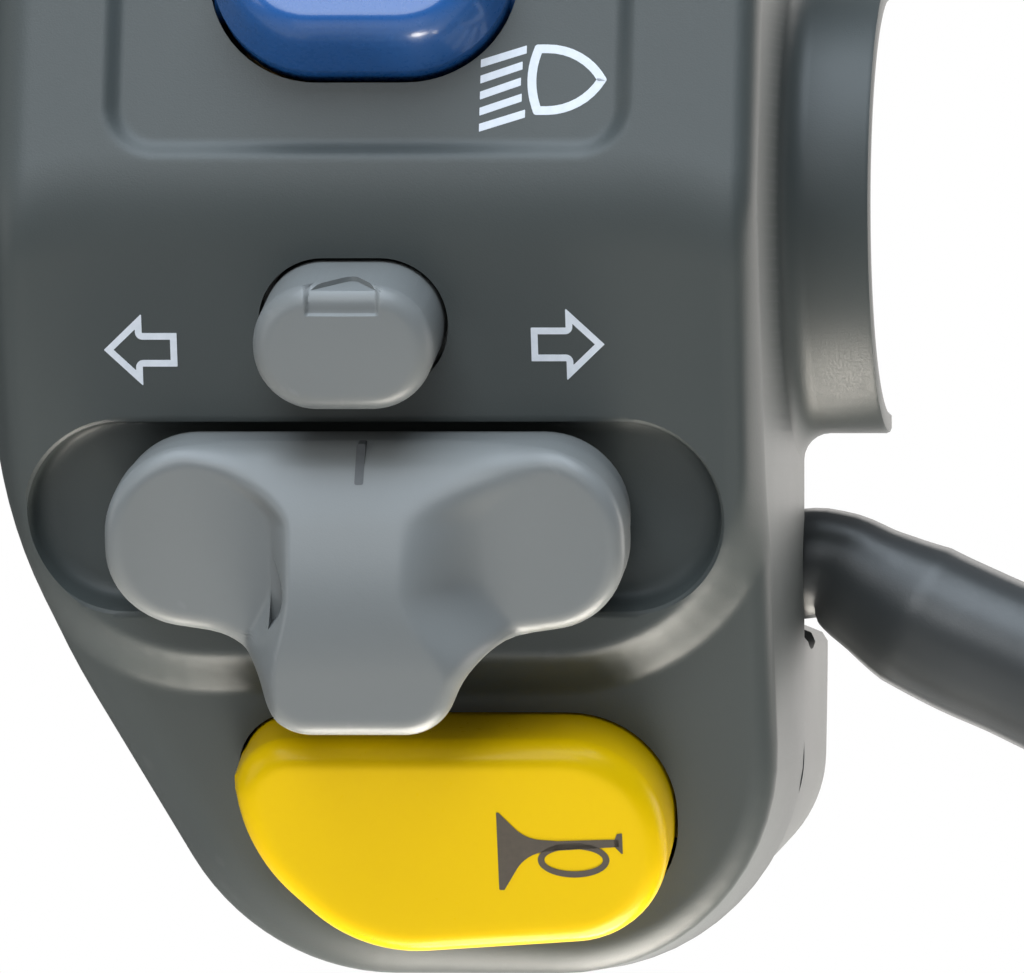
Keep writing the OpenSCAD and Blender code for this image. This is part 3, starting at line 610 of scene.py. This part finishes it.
def markFinish(name, dark, light, rough):
    paint, shader, at = newFinish(name)
    uneven = at.noise(markNoise["scale"], markNoise["detail"], markNoise["rough"])
    joinTo(shader, Base_Color=uneven.blendColour(dark, light), Roughness=uneven * markNoise["gloss"] + rough)
    return paint


finishes = {}
for makeFinish, table in ((mouldedPlastic, plastics), (plainMetal, metals), (markFinish, markFinishes)):
    for slotName, settings in table.items():
        finishes[slotName] = makeFinish(**settings)


def dress(piece, slot):
    piece.data.materials.clear()
    piece.data.materials.append(finishes[slot])


for part in frame["record"]["subparts"]:
    holder = bpy.data.objects[part["node"]]
    for slotEntry in holder.material_slots:
        slotEntry.material = finishes[part["material_slot"]]
    if not holder.material_slots:
        holder.data.materials.append(finishes[part["material_slot"]])
print("finishes made")

# cable: the lead's points (x, z) in millimetres, then the tied coil below
cable = {"diameter": 7.6, "backY": 4.0, "coilX": 16.0, "coilZ": -97.0, "coilRadius": 42.0, "layerGap": 0.8,
         "climbFrom": 225.0, "climbTo": 355.0, "turn": 540, "step": 15, "smooth": 6,
         "neck": 0.82, "swell": 1.14, "swellX": (22.5, 29.0), "slimZ": (34.0, 48.0),
         "exitZ": -20.4, "exitRadius": 4.8}
leadPoints = [(20, -20.4), (20.9, -20.4), (23, -20.35), (25.5, -21.75), (28, -23.2), (31, -24.7),
              (34.5, -26.25), (38.3, -28.3), (42, -31.2), (45.6, -34.6), (48.9, -38.6), (51.9, -43.3),
              (54.4, -48.7), (56.3, -54.6), (57.5, -60.8), (58, -67), (58, -73.4), (58, -80), (58, -89.4)]


def coilPoint(angle):
    layer = cable["diameter"] + cable["layerGap"]
    climb = float(smoothStep(cable["climbFrom"], cable["climbTo"], angle))
    a = math.radians(angle)
    return (cable["coilX"] + cable["coilRadius"] * math.cos(a), layer * climb,
            cable["coilZ"] - cable["coilRadius"] * math.sin(a))


# the sleeve's share of its nominal radius: tight at the exit, swollen beside the housing
def sleeveRadius(x, z):
    swollen = cable["neck"] + (cable["swell"] - cable["neck"]) * float(smoothStep(*cable["swellX"], x))
    return swollen + (1 - swollen) * float(smoothStep(*cable["slimZ"], -z))


def makeCable():
    route = [(x, 0, z) for x, z in leadPoints]
    route += [coilPoint(a) for a in range(0, cable["turn"] + 1, cable["step"])]
    lastX, lastY, lastZ = route[-1]
    route.append((lastX, lastY, lastZ + cable["diameter"]))
    route = [(x, y + cable["backY"], z) for x, y, z in route]
    curve = bpy.data.curves.new("cable", "CURVE")
    curve.dimensions = "3D"
    curve.bevel_depth = cable["diameter"] / 2 * mm
    curve.bevel_resolution = cable["smooth"]
    curve.resolution_u = cable["smooth"]
    curve.use_fill_caps = True
    spline = curve.splines.new("BEZIER")
    spline.bezier_points.add(len(route) - 1)
    for point, at in zip(spline.bezier_points, route):
        point.co = Vector(at) * mm
        point.handle_left_type = "AUTO"
        point.handle_right_type = "AUTO"
        point.radius = sleeveRadius(at[0], at[2])
    piece = bpy.data.objects.new("cable", curve)
    bpy.context.scene.collection.objects.link(piece)
    curve.materials.append(finishes["cable_sleeve"])
    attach(piece, "housing")
    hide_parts("cable_lead", "cable_coil")
    length = sum((Vector(q) - Vector(p)).length for p, q in zip(route, route[1:])) * mm
    print("cable laid, points give", round(length, 4), "m")


makeCable()

# settings of the controls, here because the front half's windows are cut from them;
# mesh is the rounded edge's width, the rows across it and the spacing elsewhere
rocker = {"size": (17.0, 12.5, 6.0), "gap": (0.5, 0.8), "window": (-5, 3), "out": 4.6, "low": -1.8,
          "mesh": (3.4, 22, 0.3), "wall": (0.5, 2.9), "bevel": (2.4, 1.05), "wallSoft": 0.7, "faceDrop": 0.3,
          "dish": 0.25, "dishReach": 6.25, "faceSoft": 0.5, "pinDepth": 3.0,
          "hubRadius": 2.6, "hubReach": 8.5, "stemLow": -8, "hubSides": 48, "boreRadius": 1.29,
          "boreReach": 12, "wellRadius": 1.54, "wellLow": -9, "wellUnderPin": 1.75, "boreSides": 32}
hazard = {"size": (10.2, 7.2, 3.5), "gap": (0.5, 0.5), "window": (-6, 3), "out": 6.0, "low": -2.3,
          "edge": 1.1, "crown": 0.012, "mesh": (1.1, 12, 0.12),
          "pocket": (4.0, 4.0, 0.1, 0.1, 4.1), "pocketDepth": 0.28, "pocketSoft": 0.08,
          "pocketSteps": 3, "peakX": 0.1, "peak": [(-2.0, 0.6, 0.05), (2.0, 0.6, 0.05), (0.4, 3.2, 0.5)],
          "peakSteps": 4, "peakDepth": 3, "flange": (2.6, -1.6, 1.6), "flangeZ": (-3.3, -2.2),
          "stemRadius": 2.0, "stemZ": (-10, -3), "stemSides": 32}
knob = {"corners": [(-14.7, -4.9, 4.85), (-6.7, -6.2, 4.2), (-5.0, -10.7, 3.0), (4.3, -10.7, 3.0),
                    (6.2, -6.3, 4.2), (14.7, -4.9, 4.85), (14.7, 4.9, 4.85), (-14.7, 4.9, 4.85)],
        "window": (-6, 3), "path": (15.6, 4.6, 0.5), "low": 1.8, "edge": 1.1, "mesh": (1.1, 10, 0.16),
        "core": 4.5,
        "leftLobe": {"middle": 9.3, "reach": 5.4, "low": 4.0, "rise": 1.2},
        "rightLobe": {"middle": 7.6, "reach": 7.1, "low": 4.5, "rise": 0.9}, "scoop": (-0.8, 1.2),
        "rib": 8.4, "ribFall": 0.035, "ribFallFrom": -7, "leanFoot": 3.0, "leanTop": 4.9, "leanSlope": 1.05,
        "leanSoft": 1.0, "spreadV": (0.8, 5.4), "tabV": (-7.5, -2.5),
        "ribLeft": [(4.0, 2.4, 0.7), (5.4, 5.6, 2.0)], "ribRight": [(2.0, 2.6, 2.4), (7.0, 4.8, 2.6)],
        "slot": (-5.35, -2.85, 2.05, 0.95), "slotSteps": 17, "slotZ": (4.7, 12), "skirt": (29.0, 9.6, 4.75),
        "skirtZ": (-0.4, 1.9), "stem": (7, 4, 0.3), "stemZ": (-6.4, 0.5)}
horn = {"corners": [(-12.2, -6.4, 10), (-5.4, -13.0, 8.5), (12.2, -11.8, 5.6), (12.2, 0, 5.8),
                    (-12.2, 0, 3.2)],
        "gap": 0.2, "window": (-5, 3), "out": 5.0, "edge": 1.5, "low": -3.3, "mesh": (1.5, 12, 0.4),
        "lugs": (26.8, 3.6, 0.4), "lugThick": 1, "stemV": -6.4, "stemRadius": 2.0,
        "stemZ": (-9.5, -3), "stemSides": 32}

# front half of the housing: one skin with a soft crease, a shallow panel, the slider's recess
# and the horn's step
front = {"corners": [(-22, -18.5, 40), (-8, -43.5, 13), (22, -43.5, 13), (22, 28, 9), (-22, 28, 9)],
         "mesh": (3.2, 22, 0.22), "leftEdge": 3.0, "rightEdge": 1.5, "edgeChange": (-8, 16),
         "creaseSoft": 1.5, "creaseDip": 0.5, "dipX": 15, "dipWidth": 5,
         "panel": (29, 22.8, 2.6, 0, 14.3), "panelDepth": 0.55, "panelSoft": (-0.5, 0.6),
         "deck": [(-20.6, -25.4, 11), (20.9, -25.4, 11), (20.9, 40, 1), (-20.6, 40, 1)],
         "deckEdge": (-2.3, 0.2), "recess": (39.1, 10.85, 5.4, 0, -18.28), "recessDepth": 2.2,
         "recessZ": (-26.5, -10), "recessSteps": 24,
         "recessRim": [(1.2, -2.2), (0.62, -2.1), (0.3, -1.85), (0.12, -1.4),
                       (0.03, -0.6), (-0.1, -0.12), (-0.3, 0.0), (-0.3, 3)],
         "wall": 2.0, "wallUnderPanel": 0.6, "innerEdge": 1.5, "innerLow": -1.0, "innerMesh": (1.5, 6, 1.2)}


def frontFace(x, z):
    upper = body["creaseY"] - z * slope["upper"]
    lower = body["creaseY"] + z * slope["lower"]
    lower = lower + front["creaseDip"] * np.clip((np.abs(x) - front["dipX"]) / front["dipWidth"], 0, 1) ** 2
    face = softMin(upper, lower, front["creaseSoft"])
    stepped = body["hornY"] + (z + body["hornZ"]) * slope["horn"]
    inDeck = insideDistance(np.column_stack([x, z]), roundedOutline(front["deck"]))
    onDeck = smoothStep(*front["deckEdge"], inDeck)
    return face - np.maximum(face - stepped, 0) * (1 - onDeck)


def frontEdge(x):
    return front["leftEdge"] + (front["rightEdge"] - front["leftEdge"]) * smoothStep(*front["edgeChange"], x)


def frontDepth(x, z, d):
    inPanel = insideDistance(np.column_stack([x, z]), roundedBox(*front["panel"]))
    sunk = front["panelDepth"] * smoothStep(*front["panelSoft"], inPanel)
    return frontFace(x, z) - sunk - roundEdge(d, frontEdge(x))


def frontInner(x, z, d):
    low, high = front["recessZ"]
    behindRecess = np.where((z < high) & (z > low), front["recessDepth"], 0.0)
    skin = frontFace(x, z) - front["wall"] - front["wallUnderPanel"]
    return skin - behindRecess - roundEdge(d, front["innerEdge"])


# half pipe round the bar, spun half a turn about it; the front one ends in a filleted collar,
# and the bar's own path is cut out of it later
pipe = {"boreUnder": 0.6, "leftGap": 0.4, "rim": 0.3, "rimBow": 0.3, "mouth": 1.4, "collarFillet": 1.5,
        "filletSteps": 6, "filletRoot": 1, "spinSteps": 72, "weld": 1e-7}


def halfPipe(name, xEnd, firstAngle, fillet=0.0):
    bore, outer = body["barRadius"] - pipe["boreUnder"], body["saddleRadius"]
    left, right = pipe["leftGap"] - body["halfWidth"], body["halfWidth"]
    rim, mouth = pipe["rim"], pipe["mouth"]
    bow = pipe["rimBow"] * rim
    profile = [(left, bore), (xEnd - mouth, bore), (xEnd, bore + mouth), (xEnd, outer - rim),
               (xEnd - bow, outer - bow), (xEnd - rim, outer)]
    if fillet:
        for k in range(pipe["filletSteps"] + 1):
            angle = math.radians(90 * k / pipe["filletSteps"])
            profile.append((right + fillet * (1 - math.sin(angle)), outer + fillet * (1 - math.cos(angle))))
        root = right - pipe["filletRoot"]
        profile += [(root, outer + fillet), (root, outer)]
    profile.append((left, outer))
    deselectAll()
    bpy.ops.mesh.primitive_circle_add(vertices=len(profile), radius=1, fill_type="NGON")
    piece = named(bpy.context.active_object, name)
    turn = Matrix.Rotation(firstAngle, 3, "X")
    setCoords(piece, [turn @ Vector((x, 0, r)) * mm for x, r in profile])
    editMode(piece, "FACE")
    bpy.ops.mesh.select_all(action="SELECT")
    bpy.ops.mesh.spin(steps=pipe["spinSteps"], angle=math.pi, center=(0, 0, 0), axis=(1, 0, 0))
    bpy.ops.mesh.select_all(action="SELECT")
    bpy.ops.mesh.remove_doubles(threshold=pipe["weld"])
    objectMode()
    recalcOutside(piece)
    return piece


# cuts that both halves share: the bar's path and the cable's exit
paths = {"beyondSide": 10, "exitDepth": 5}


def cutBarAndCable(piece):
    reach = body["halfWidth"] + paths["beyondSide"]
    cutWith(piece, roundBar("barPath", body["barRadius"], (-reach, 0, 0), (reach, 0, 0)))
    exitStart = (body["halfWidth"] - paths["exitDepth"], cable["backY"], cable["exitZ"])
    exitEnd = (reach, cable["backY"], cable["exitZ"])
    cutWith(piece, roundBar("cableExit", cable["exitRadius"], exitStart, exitEnd))


# outline of a control's window: its own outline with the gap added to its width and height
def windowOutline(control):
    (w, h, r), (gapX, gapY) = control["size"], control["gap"]
    return roundedBox(w + gapX, h + gapY, r + gapX / 2)


def makeFrontHousing():
    outline = roundedOutline(front["corners"])
    piece = gridBlock("frontShell", outline, frontDepth, 0.0, front["mesh"], frontView)
    innerOutline = roundedOutline(insetCorners(front["corners"], front["wall"]))
    innerLow, innerMesh = front["innerLow"], front["innerMesh"]
    cutWith(piece, gridBlock("frontHollow", innerOutline, frontInner, innerLow, innerMesh, frontView))
    cutWith(piece, halfPipe("frontSaddle", body["collarEnd"], math.pi, pipe["collarFillet"]), "UNION")
    cutBarAndCable(piece)
    recess = boxCorners(*front["recess"])
    rim = [(roundedOutline(insetCorners(recess, inset), front["recessSteps"]), level)
           for inset, level in front["recessRim"]]
    cutWith(piece, loft("sliderRecess", rim, lowerFace))
    hornOutline = roundedOutline(insetCorners(horn["corners"], -horn["gap"]))
    cutWith(piece, prism("rockerWindow", windowOutline(rocker), *rocker["window"], rockerFace))
    cutWith(piece, prism("hazardWindow", windowOutline(hazard), *hazard["window"], hazardFace))
    cutWith(piece, prism("knobSlot", roundedBox(*knob["path"]), *knob["window"], turnFace))
    cutWith(piece, prism("hornWindow", hornOutline, *horn["window"], hornFace))
    finishPiece(piece, "housing", "housing", "front_housing")


# smooth shading, finish, the body it rides on and the solid it stands for
def finishPiece(piece, slot, bodyName, node, smoothDegrees=40):
    smoothByAngle(piece, smoothDegrees)
    dress(piece, slot)
    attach(piece, bodyName)
    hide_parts(node)
    print(piece.name, len(piece.data.polygons), "faces")


makeFrontHousing()

# rear half: much the same outline, set back on the collar's side down to the cable,
# with a slanted lower corner, tapering below the bar, and with two sunk screws
rear = {"corners": [(-22, -18.5, 40), (-8, -43.5, 13), (13.3, -43.5, 10), (22, -34.0, 7), (22, -24.2, 0.6),
                    (20.4, -24.2, 0.6), (20.4, 28, 8), (-22, 28, 9)],
        "edge": 3.2, "mesh": (3.2, 20, 0.5), "wall": 2.0, "innerLow": -1.0, "innerSteps": (8, 1.2),
        "taperFrom": -24.0, "taperTo": -51.0, "taper": 5.0, "saddleShort": 2.0,
        "screwSpots": [(0, 21.4), (-11, -26.0)], "seatY": 10.6, "bossRadius": 5.4, "headRadius": 3.7,
        "bossFrom": -5, "shankRadius": 2.2, "shankFrom": -1, "behindY": 20,
        "wellSides": 48, "shankSides": 32}


def rearFace(z):
    return body["rearY"] - rear["taper"] * smoothStep(-rear["taperFrom"], -rear["taperTo"], -z)


def rearDepth(x, z, d):
    return rearFace(z) - roundEdge(d, rear["edge"])


def rearInner(x, z, d):
    return rearFace(z) - rear["wall"] - roundEdge(d, rear["edge"] - rear["wall"])


# round bar on a screw's line, from a depth to behind the housing
def screwBar(name, radius, spot, fromY, sides):
    x, z = spot
    return roundBar(name, radius, (x, fromY, z), (x, rear["behindY"], z), sides=sides)


def makeRearHousing():
    corners = [(-x, z, r) for x, z, r in reversed(rear["corners"])]
    piece = gridBlock("rearShell", roundedOutline(corners), rearDepth, 0.0, rear["mesh"], rearView)
    innerOutline = roundedOutline(insetCorners(corners, rear["wall"]))
    innerMesh = (rear["edge"] - rear["wall"], *rear["innerSteps"])
    hollow = gridBlock("rearHollow", innerOutline, rearInner, rear["innerLow"], innerMesh, rearView)
    for spot in rear["screwSpots"]:
        cutWith(hollow, screwBar("screwBoss", rear["bossRadius"], spot, rear["bossFrom"], rear["wellSides"]))
    cutWith(piece, hollow)
    for spot in rear["screwSpots"]:
        well = screwBar("screwWell", rear["headRadius"], spot, rear["seatY"], rear["wellSides"])
        cutWith(piece, well)
        shank = screwBar("screwShank", rear["shankRadius"], spot, rear["shankFrom"], rear["shankSides"])
        cutWith(piece, shank)
    cutWith(piece, halfPipe("rearSaddle", body["halfWidth"] - rear["saddleShort"], 0.0), "UNION")
    cutBarAndCable(piece)
    finishPiece(piece, "rear", "housing", "rear_housing")


makeRearHousing()


# rocker: leaning walls, a bevel and a slightly dished face, over a hub with the pin's bore
# and the spring's well
def rockerTop(x, v, d):
    (wallFoot, wallSlope), (bevelFoot, bevelSlope) = rocker["wall"], rocker["bevel"]
    walls = softMin(wallFoot + wallSlope * d, bevelFoot + bevelSlope * d, rocker["wallSoft"])
    face = rocker["out"] - rocker["faceDrop"] + rocker["dish"] * (v / rocker["dishReach"]) ** 2
    return softMin(walls, face, rocker["faceSoft"])


# round bar along the rocker's pin
def pinBar(name, radius, reach, sides):
    depth = -rocker["pinDepth"]
    return roundBar(name, radius, (-reach, 0, depth), (reach, 0, depth), rockerFace, sides)


def makeRocker():
    outline = roundedBox(*rocker["size"])
    piece = gridBlock("blueRocker", outline, rockerTop, rocker["low"], rocker["mesh"], rockerFace)
    depth = -rocker["pinDepth"]
    hubRadius, hubSides, boreSides = rocker["hubRadius"], rocker["hubSides"], rocker["boreSides"]
    cutWith(piece, pinBar("rockerHub", hubRadius, rocker["hubReach"], hubSides), "UNION")
    cutWith(piece, post("rockerStem", hubRadius, rocker["stemLow"], depth, rockerFace, hubSides), "UNION")
    cutWith(piece, pinBar("pinBore", rocker["boreRadius"], rocker["boreReach"], boreSides))
    wellZ = rocker["wellLow"], depth - rocker["wellUnderPin"]
    cutWith(piece, post("springWell", rocker["wellRadius"], *wellZ, rockerFace, boreSides))
    finishPiece(piece, "blue_rocker", "dimmer", "dimmer_rocker")


makeRocker()


# hazard button: a domed oval with a shallow pocket over its upper edge that ends in a triangle
def hazardTop(x, v, d):
    pocket = roundedBox(*hazard["pocket"], steps=hazard["pocketSteps"])
    inPocket = insideDistance(np.column_stack([x, v]), pocket)
    sunk = hazard["pocketDepth"] * smoothStep(-hazard["pocketSoft"], hazard["pocketSoft"], inPocket)
    return hazard["out"] - hazard["crown"] * (x * x + v * v) - roundEdge(d, hazard["edge"]) - sunk


def makeHazard():
    w, h, r = hazard["size"]
    outline = roundedBox(w, h, r)
    piece = gridBlock("hazardKnob", outline, hazardTop, hazard["low"], hazard["mesh"], hazardFace)
    pocketFloor = Matrix.Translation((hazard["peakX"], h / 2 - hazard["pocketDepth"], 0))
    wallFace = hazardFace @ (pocketFloor @ Matrix.Rotation(math.radians(-90), 4, "X"))
    peak = roundedOutline(cornersAt(0, -hazard["out"], hazard["peak"]), hazard["peakSteps"])
    cutWith(piece, prism("markPeak", peak, 0, hazard["peakDepth"], wallFace))
    wider, taller, corner = hazard["flange"]
    flange = roundedBox(w + wider, h + taller, corner)
    cutWith(piece, prism("hazardFlange", flange, *hazard["flangeZ"], hazardFace), "UNION")
    stem = post("hazardStem", hazard["stemRadius"], *hazard["stemZ"], hazardFace, hazard["stemSides"])
    cutWith(piece, stem, "UNION")
    finishPiece(piece, "grey_knob", "hazard", "hazard_button")


makeHazard()


# thumb slider: two scooped lobes and a rib between them, crisp on its left and soft on its right,
# that leans back between the lobes at the top and runs down into the tab
def lobeTop(along, lobe):
    scoop = (along - lobe["middle"]) / lobe["reach"]
    return lobe["low"] + lobe["rise"] * np.clip(scoop, *knob["scoop"]) ** 2


# one flank of the rib: where it starts and ends, each wider by a share where the rib spreads and at the tab
def ribFlank(along, ends, spread, tab):
    start, end = [plain + wider * spread + tabbed * tab for plain, wider, tabbed in ends]
    return 1 - smoothStep(start, end, along)


def knobTop(x, v, d):
    lobe = np.where(x < 0, lobeTop(-x, knob["leftLobe"]), lobeTop(x, knob["rightLobe"]))
    plateau = knob["rib"] - knob["ribFall"] * np.clip(v - knob["ribFallFrom"], 0, None) ** 2
    slant = knob["leanFoot"] + (knob["leanTop"] - v) * knob["leanSlope"]
    leaning = softMin(slant, plateau, knob["leanSoft"])
    spread = smoothStep(*knob["spreadV"], v)
    tab = 1 - smoothStep(*knob["tabV"], v)
    onLeft = ribFlank(-x, knob["ribLeft"], spread, tab)
    onRight = ribFlank(x, knob["ribRight"], spread, tab)
    return lobe + (leaning - lobe) * np.where(x < 0, onLeft, onRight) - roundEdge(d, knob["edge"])


# outline of the slot beside the rib, straight on its left and bowed on its right
def slotOutline():
    x, v, reach, bow = knob["slot"]
    along = np.linspace(-1, 1, knob["slotSteps"])
    bowed = [(x + bow * (1 - s * s), v + reach * s) for s in along]
    return np.array(bowed + [(x, v + reach * s) for s in along[-2:0:-1]])


def makeTurnKnob():
    outline = roundedOutline(knob["corners"])
    piece = gridBlock("turnKnob", outline, knobTop, knob["low"], knob["mesh"], turnFace, knob["core"])
    cutWith(piece, prism("ribSlot", slotOutline(), *knob["slotZ"], turnFace))
    cutWith(piece, prism("knobSkirt", roundedBox(*knob["skirt"]), *knob["skirtZ"], turnFace), "UNION")
    cutWith(piece, prism("knobStem", roundedBox(*knob["stem"]), *knob["stemZ"], turnFace), "UNION")
    finishPiece(piece, "grey_knob", "turn_thumb", "turn_knob")


makeTurnKnob()


# horn button: a flat face with a rounded edge, over two lugs and a stem
def hornTop(x, v, d):
    return horn["out"] - roundEdge(d, horn["edge"])


def makeHorn():
    outline = roundedOutline(horn["corners"])
    piece = gridBlock("hornButton", outline, hornTop, horn["low"], horn["mesh"], hornFace)
    lugs = roundedBox(*horn["lugs"], 0, horn["stemV"])
    cutWith(piece, prism("hornLugs", lugs, horn["low"], horn["low"] + horn["lugThick"], hornFace), "UNION")
    stemAt = (0, horn["stemV"])
    stem = post("hornStem", horn["stemRadius"], *horn["stemZ"], hornFace, horn["stemSides"], stemAt)
    cutWith(piece, stem, "UNION")
    finishPiece(piece, "yellow_horn", "horn", "horn_button")


makeHorn()


# printed marks: thin inlays a hair above the face
ink = {"sink": 0.25, "stand": 0.03, "holeReach": 1, "cornerSteps": 8}


def inlay(name, outlines, level, place):
    parts = []
    for outer, inner in outlines:
        part = prism(name, outer, level - ink["sink"], level + ink["stand"], place)
        if inner is not None:
            cutWith(part, prism("hole", inner, level - ink["holeReach"], level + ink["holeReach"], place))
        parts.append(part)
    deselectAll()
    for part in parts:
        part.select_set(True)
    bpy.context.view_layer.objects.active = parts[0]
    if len(parts) > 1:
        bpy.ops.object.join()
    return named(parts[0], name)


# outer and inner outline of a line mark, or of a filled one where it has no stroke
def drawn(corners, stroke=0.0):
    inner = roundedOutline(insetCorners(corners, stroke), ink["cornerSteps"]) if stroke else None
    return roundedOutline(corners, ink["cornerSteps"]), inner


def ellipse(x, v, rx, rv, points=48):
    turns = np.linspace(0, 2 * math.pi, points + 1)[:-1]
    return np.column_stack([x + rx * np.cos(turns), v + rv * np.sin(turns)])


def mark(piece, finish, bodyName):
    dress(piece, finish)
    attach(piece, bodyName)


# turn marks: block arrows with a square tail, drawn pointing to +x and flipped for the left one
arrow = {"shape": [(-2.07, -0.97), (-0.1, -0.97), (-0.1, -2.09), (2.07, 0), (-0.1, 2.09), (-0.1, 0.97),
                   (-2.07, 0.97)],
         "corner": 0.04, "stroke": 0.38, "left": (-12.87, -8.55, -1), "right": (11.28, -8.25, 1)}


def arrowCorners(x, v, flip):
    turned = cornersAt(x, v, [(flip * a, b, arrow["corner"]) for a, b in arrow["shape"]])
    return turned if flip > 0 else list(reversed(turned))


def makeArrow(name, spot):
    piece = inlay(name, [drawn(arrowCorners(*spot), arrow["stroke"])], 0.0, lowerFace)
    mark(piece, "white_print", "housing")


# beam marks: a pointed lamp outline with five rays, slanting for low beam and level for high beam
beam = {"lampX": 9.05, "tipX": 13.47, "halfHeight": 2.04, "backBow": 0.35, "backCorner": 0.2,
        "backRound": 5.0, "tipReach": 1.19, "tipSide": 3.8, "tipCorner": 0.15,
        "rayLeft": 6.33, "rayRight": 8.62, "rayBow": 0.07, "rayPitch": 0.93, "rayThick": 0.46,
        "rayDrop": 0.1, "rayCorner": 0.03, "stroke": 0.5, "low": (7.2, 0.82), "high": (19.8, 0.0)}


def lampCorners(v):
    left, tip, half, bow = beam["lampX"], beam["tipX"], beam["halfHeight"], beam["backBow"]
    side = tip - beam["tipReach"]
    return [(left + bow, v - half, beam["backCorner"]), (side, v - half, beam["tipSide"]),
            (tip, v, beam["tipCorner"]), (side, v + half, beam["tipSide"]),
            (left + bow, v + half, beam["backCorner"]), (left - bow, v, beam["backRound"])]


def makeBeam(name, v, slant):
    shapes = [drawn(lampCorners(v), beam["stroke"])]
    left, half = beam["rayLeft"], beam["rayThick"] / 2
    for k in range(-2, 3):
        y = v - k * beam["rayPitch"] - beam["rayDrop"]
        right = beam["rayRight"] + beam["rayBow"] * k * k
        ends = [(left, y - slant - half), (right, y - half), (right, y + half), (left, y - slant + half)]
        shapes.append(drawn([(a, b, beam["rayCorner"]) for a, b in ends]))
    piece = inlay(name, shapes, -front["panelDepth"], upperFace)
    mark(piece, "white_print", "housing")


# horn mark: a bugle with its bell on the left, a loop under the tube and a mouthpiece;
# the bell's corners are given from its left end, the tube's and the mouthpiece's from the right end
bugle = {"bellX": 2.72, "endX": 9.8, "tubeV": -5.9, "loop": (7.0, -6.8, 2.03, 1.04), "loopStroke": 0.37,
         "bellUnder": [(0, -2.7, 0.08), (0.3, -2.7, 0.08), (1.6, -0.5, 2.2), (3.4, -0.32, 0.5)],
         "tubeEnd": [(-0.2, -0.1, 0.05), (-0.2, 0.34, 0.05)],
         "bellOver": [(3.4, 0.24, 0.5), (1.6, 0.36, 2.2), (0.12, 1.95, 0.08), (0, 1.95, 0.04)],
         "mouthpiece": [(-0.45, -0.1, 0.05), (0, -0.6, 0.05), (0, 0.72, 0.05), (-0.3, 0.66, 0.05),
                        (-0.45, 0.3, 0.05)]}


def makeHornMark():
    bellAt, endAt = (bugle["bellX"], bugle["tubeV"]), (bugle["endX"], bugle["tubeV"])
    bell = cornersAt(*bellAt, bugle["bellUnder"]) + cornersAt(*endAt, bugle["tubeEnd"])
    bell += cornersAt(*bellAt, bugle["bellOver"])
    loopX, loopV, rx, rv = bugle["loop"]
    thick = bugle["loopStroke"]
    loop = ellipse(loopX, loopV, rx, rv), ellipse(loopX, loopV, rx - thick, rv - thick)
    shapes = [drawn(bell), drawn(cornersAt(*endAt, bugle["mouthpiece"])), loop]
    piece = inlay("hornMark", shapes, horn["out"], hornFace)
    mark(piece, "dark_print", "horn")


# dark tick down the middle of the slider's sloping top, following it: a dark inlay painted as the shade
# inside an engraved groove
tick = {"size": (0.5, 1.9, 0.1, -0.2, 4.0), "cornerSteps": 3, "stand": 0.03, "fromRim": 2, "lift": 0.3,
        "mesh": (0.05, 3, 0.1)}


def tickTop(x, v, d):
    return knobTop(x, v, d + tick["fromRim"]) + tick["stand"]


def makeTick():
    outline = roundedBox(*tick["size"], steps=tick["cornerSteps"])
    piece = gridBlock("sliderTick", outline, tickTop, knob["low"] + tick["lift"], tick["mesh"], turnFace)
    mark(piece, "painted_groove_shade", "turn_thumb")


makeArrow("leftArrow", arrow["left"])
makeArrow("rightArrow", arrow["right"])
makeBeam("lowBeamMark", *beam["low"])
makeBeam("highBeamMark", *beam["high"])
makeHornMark()
makeTick()
print("marks printed")
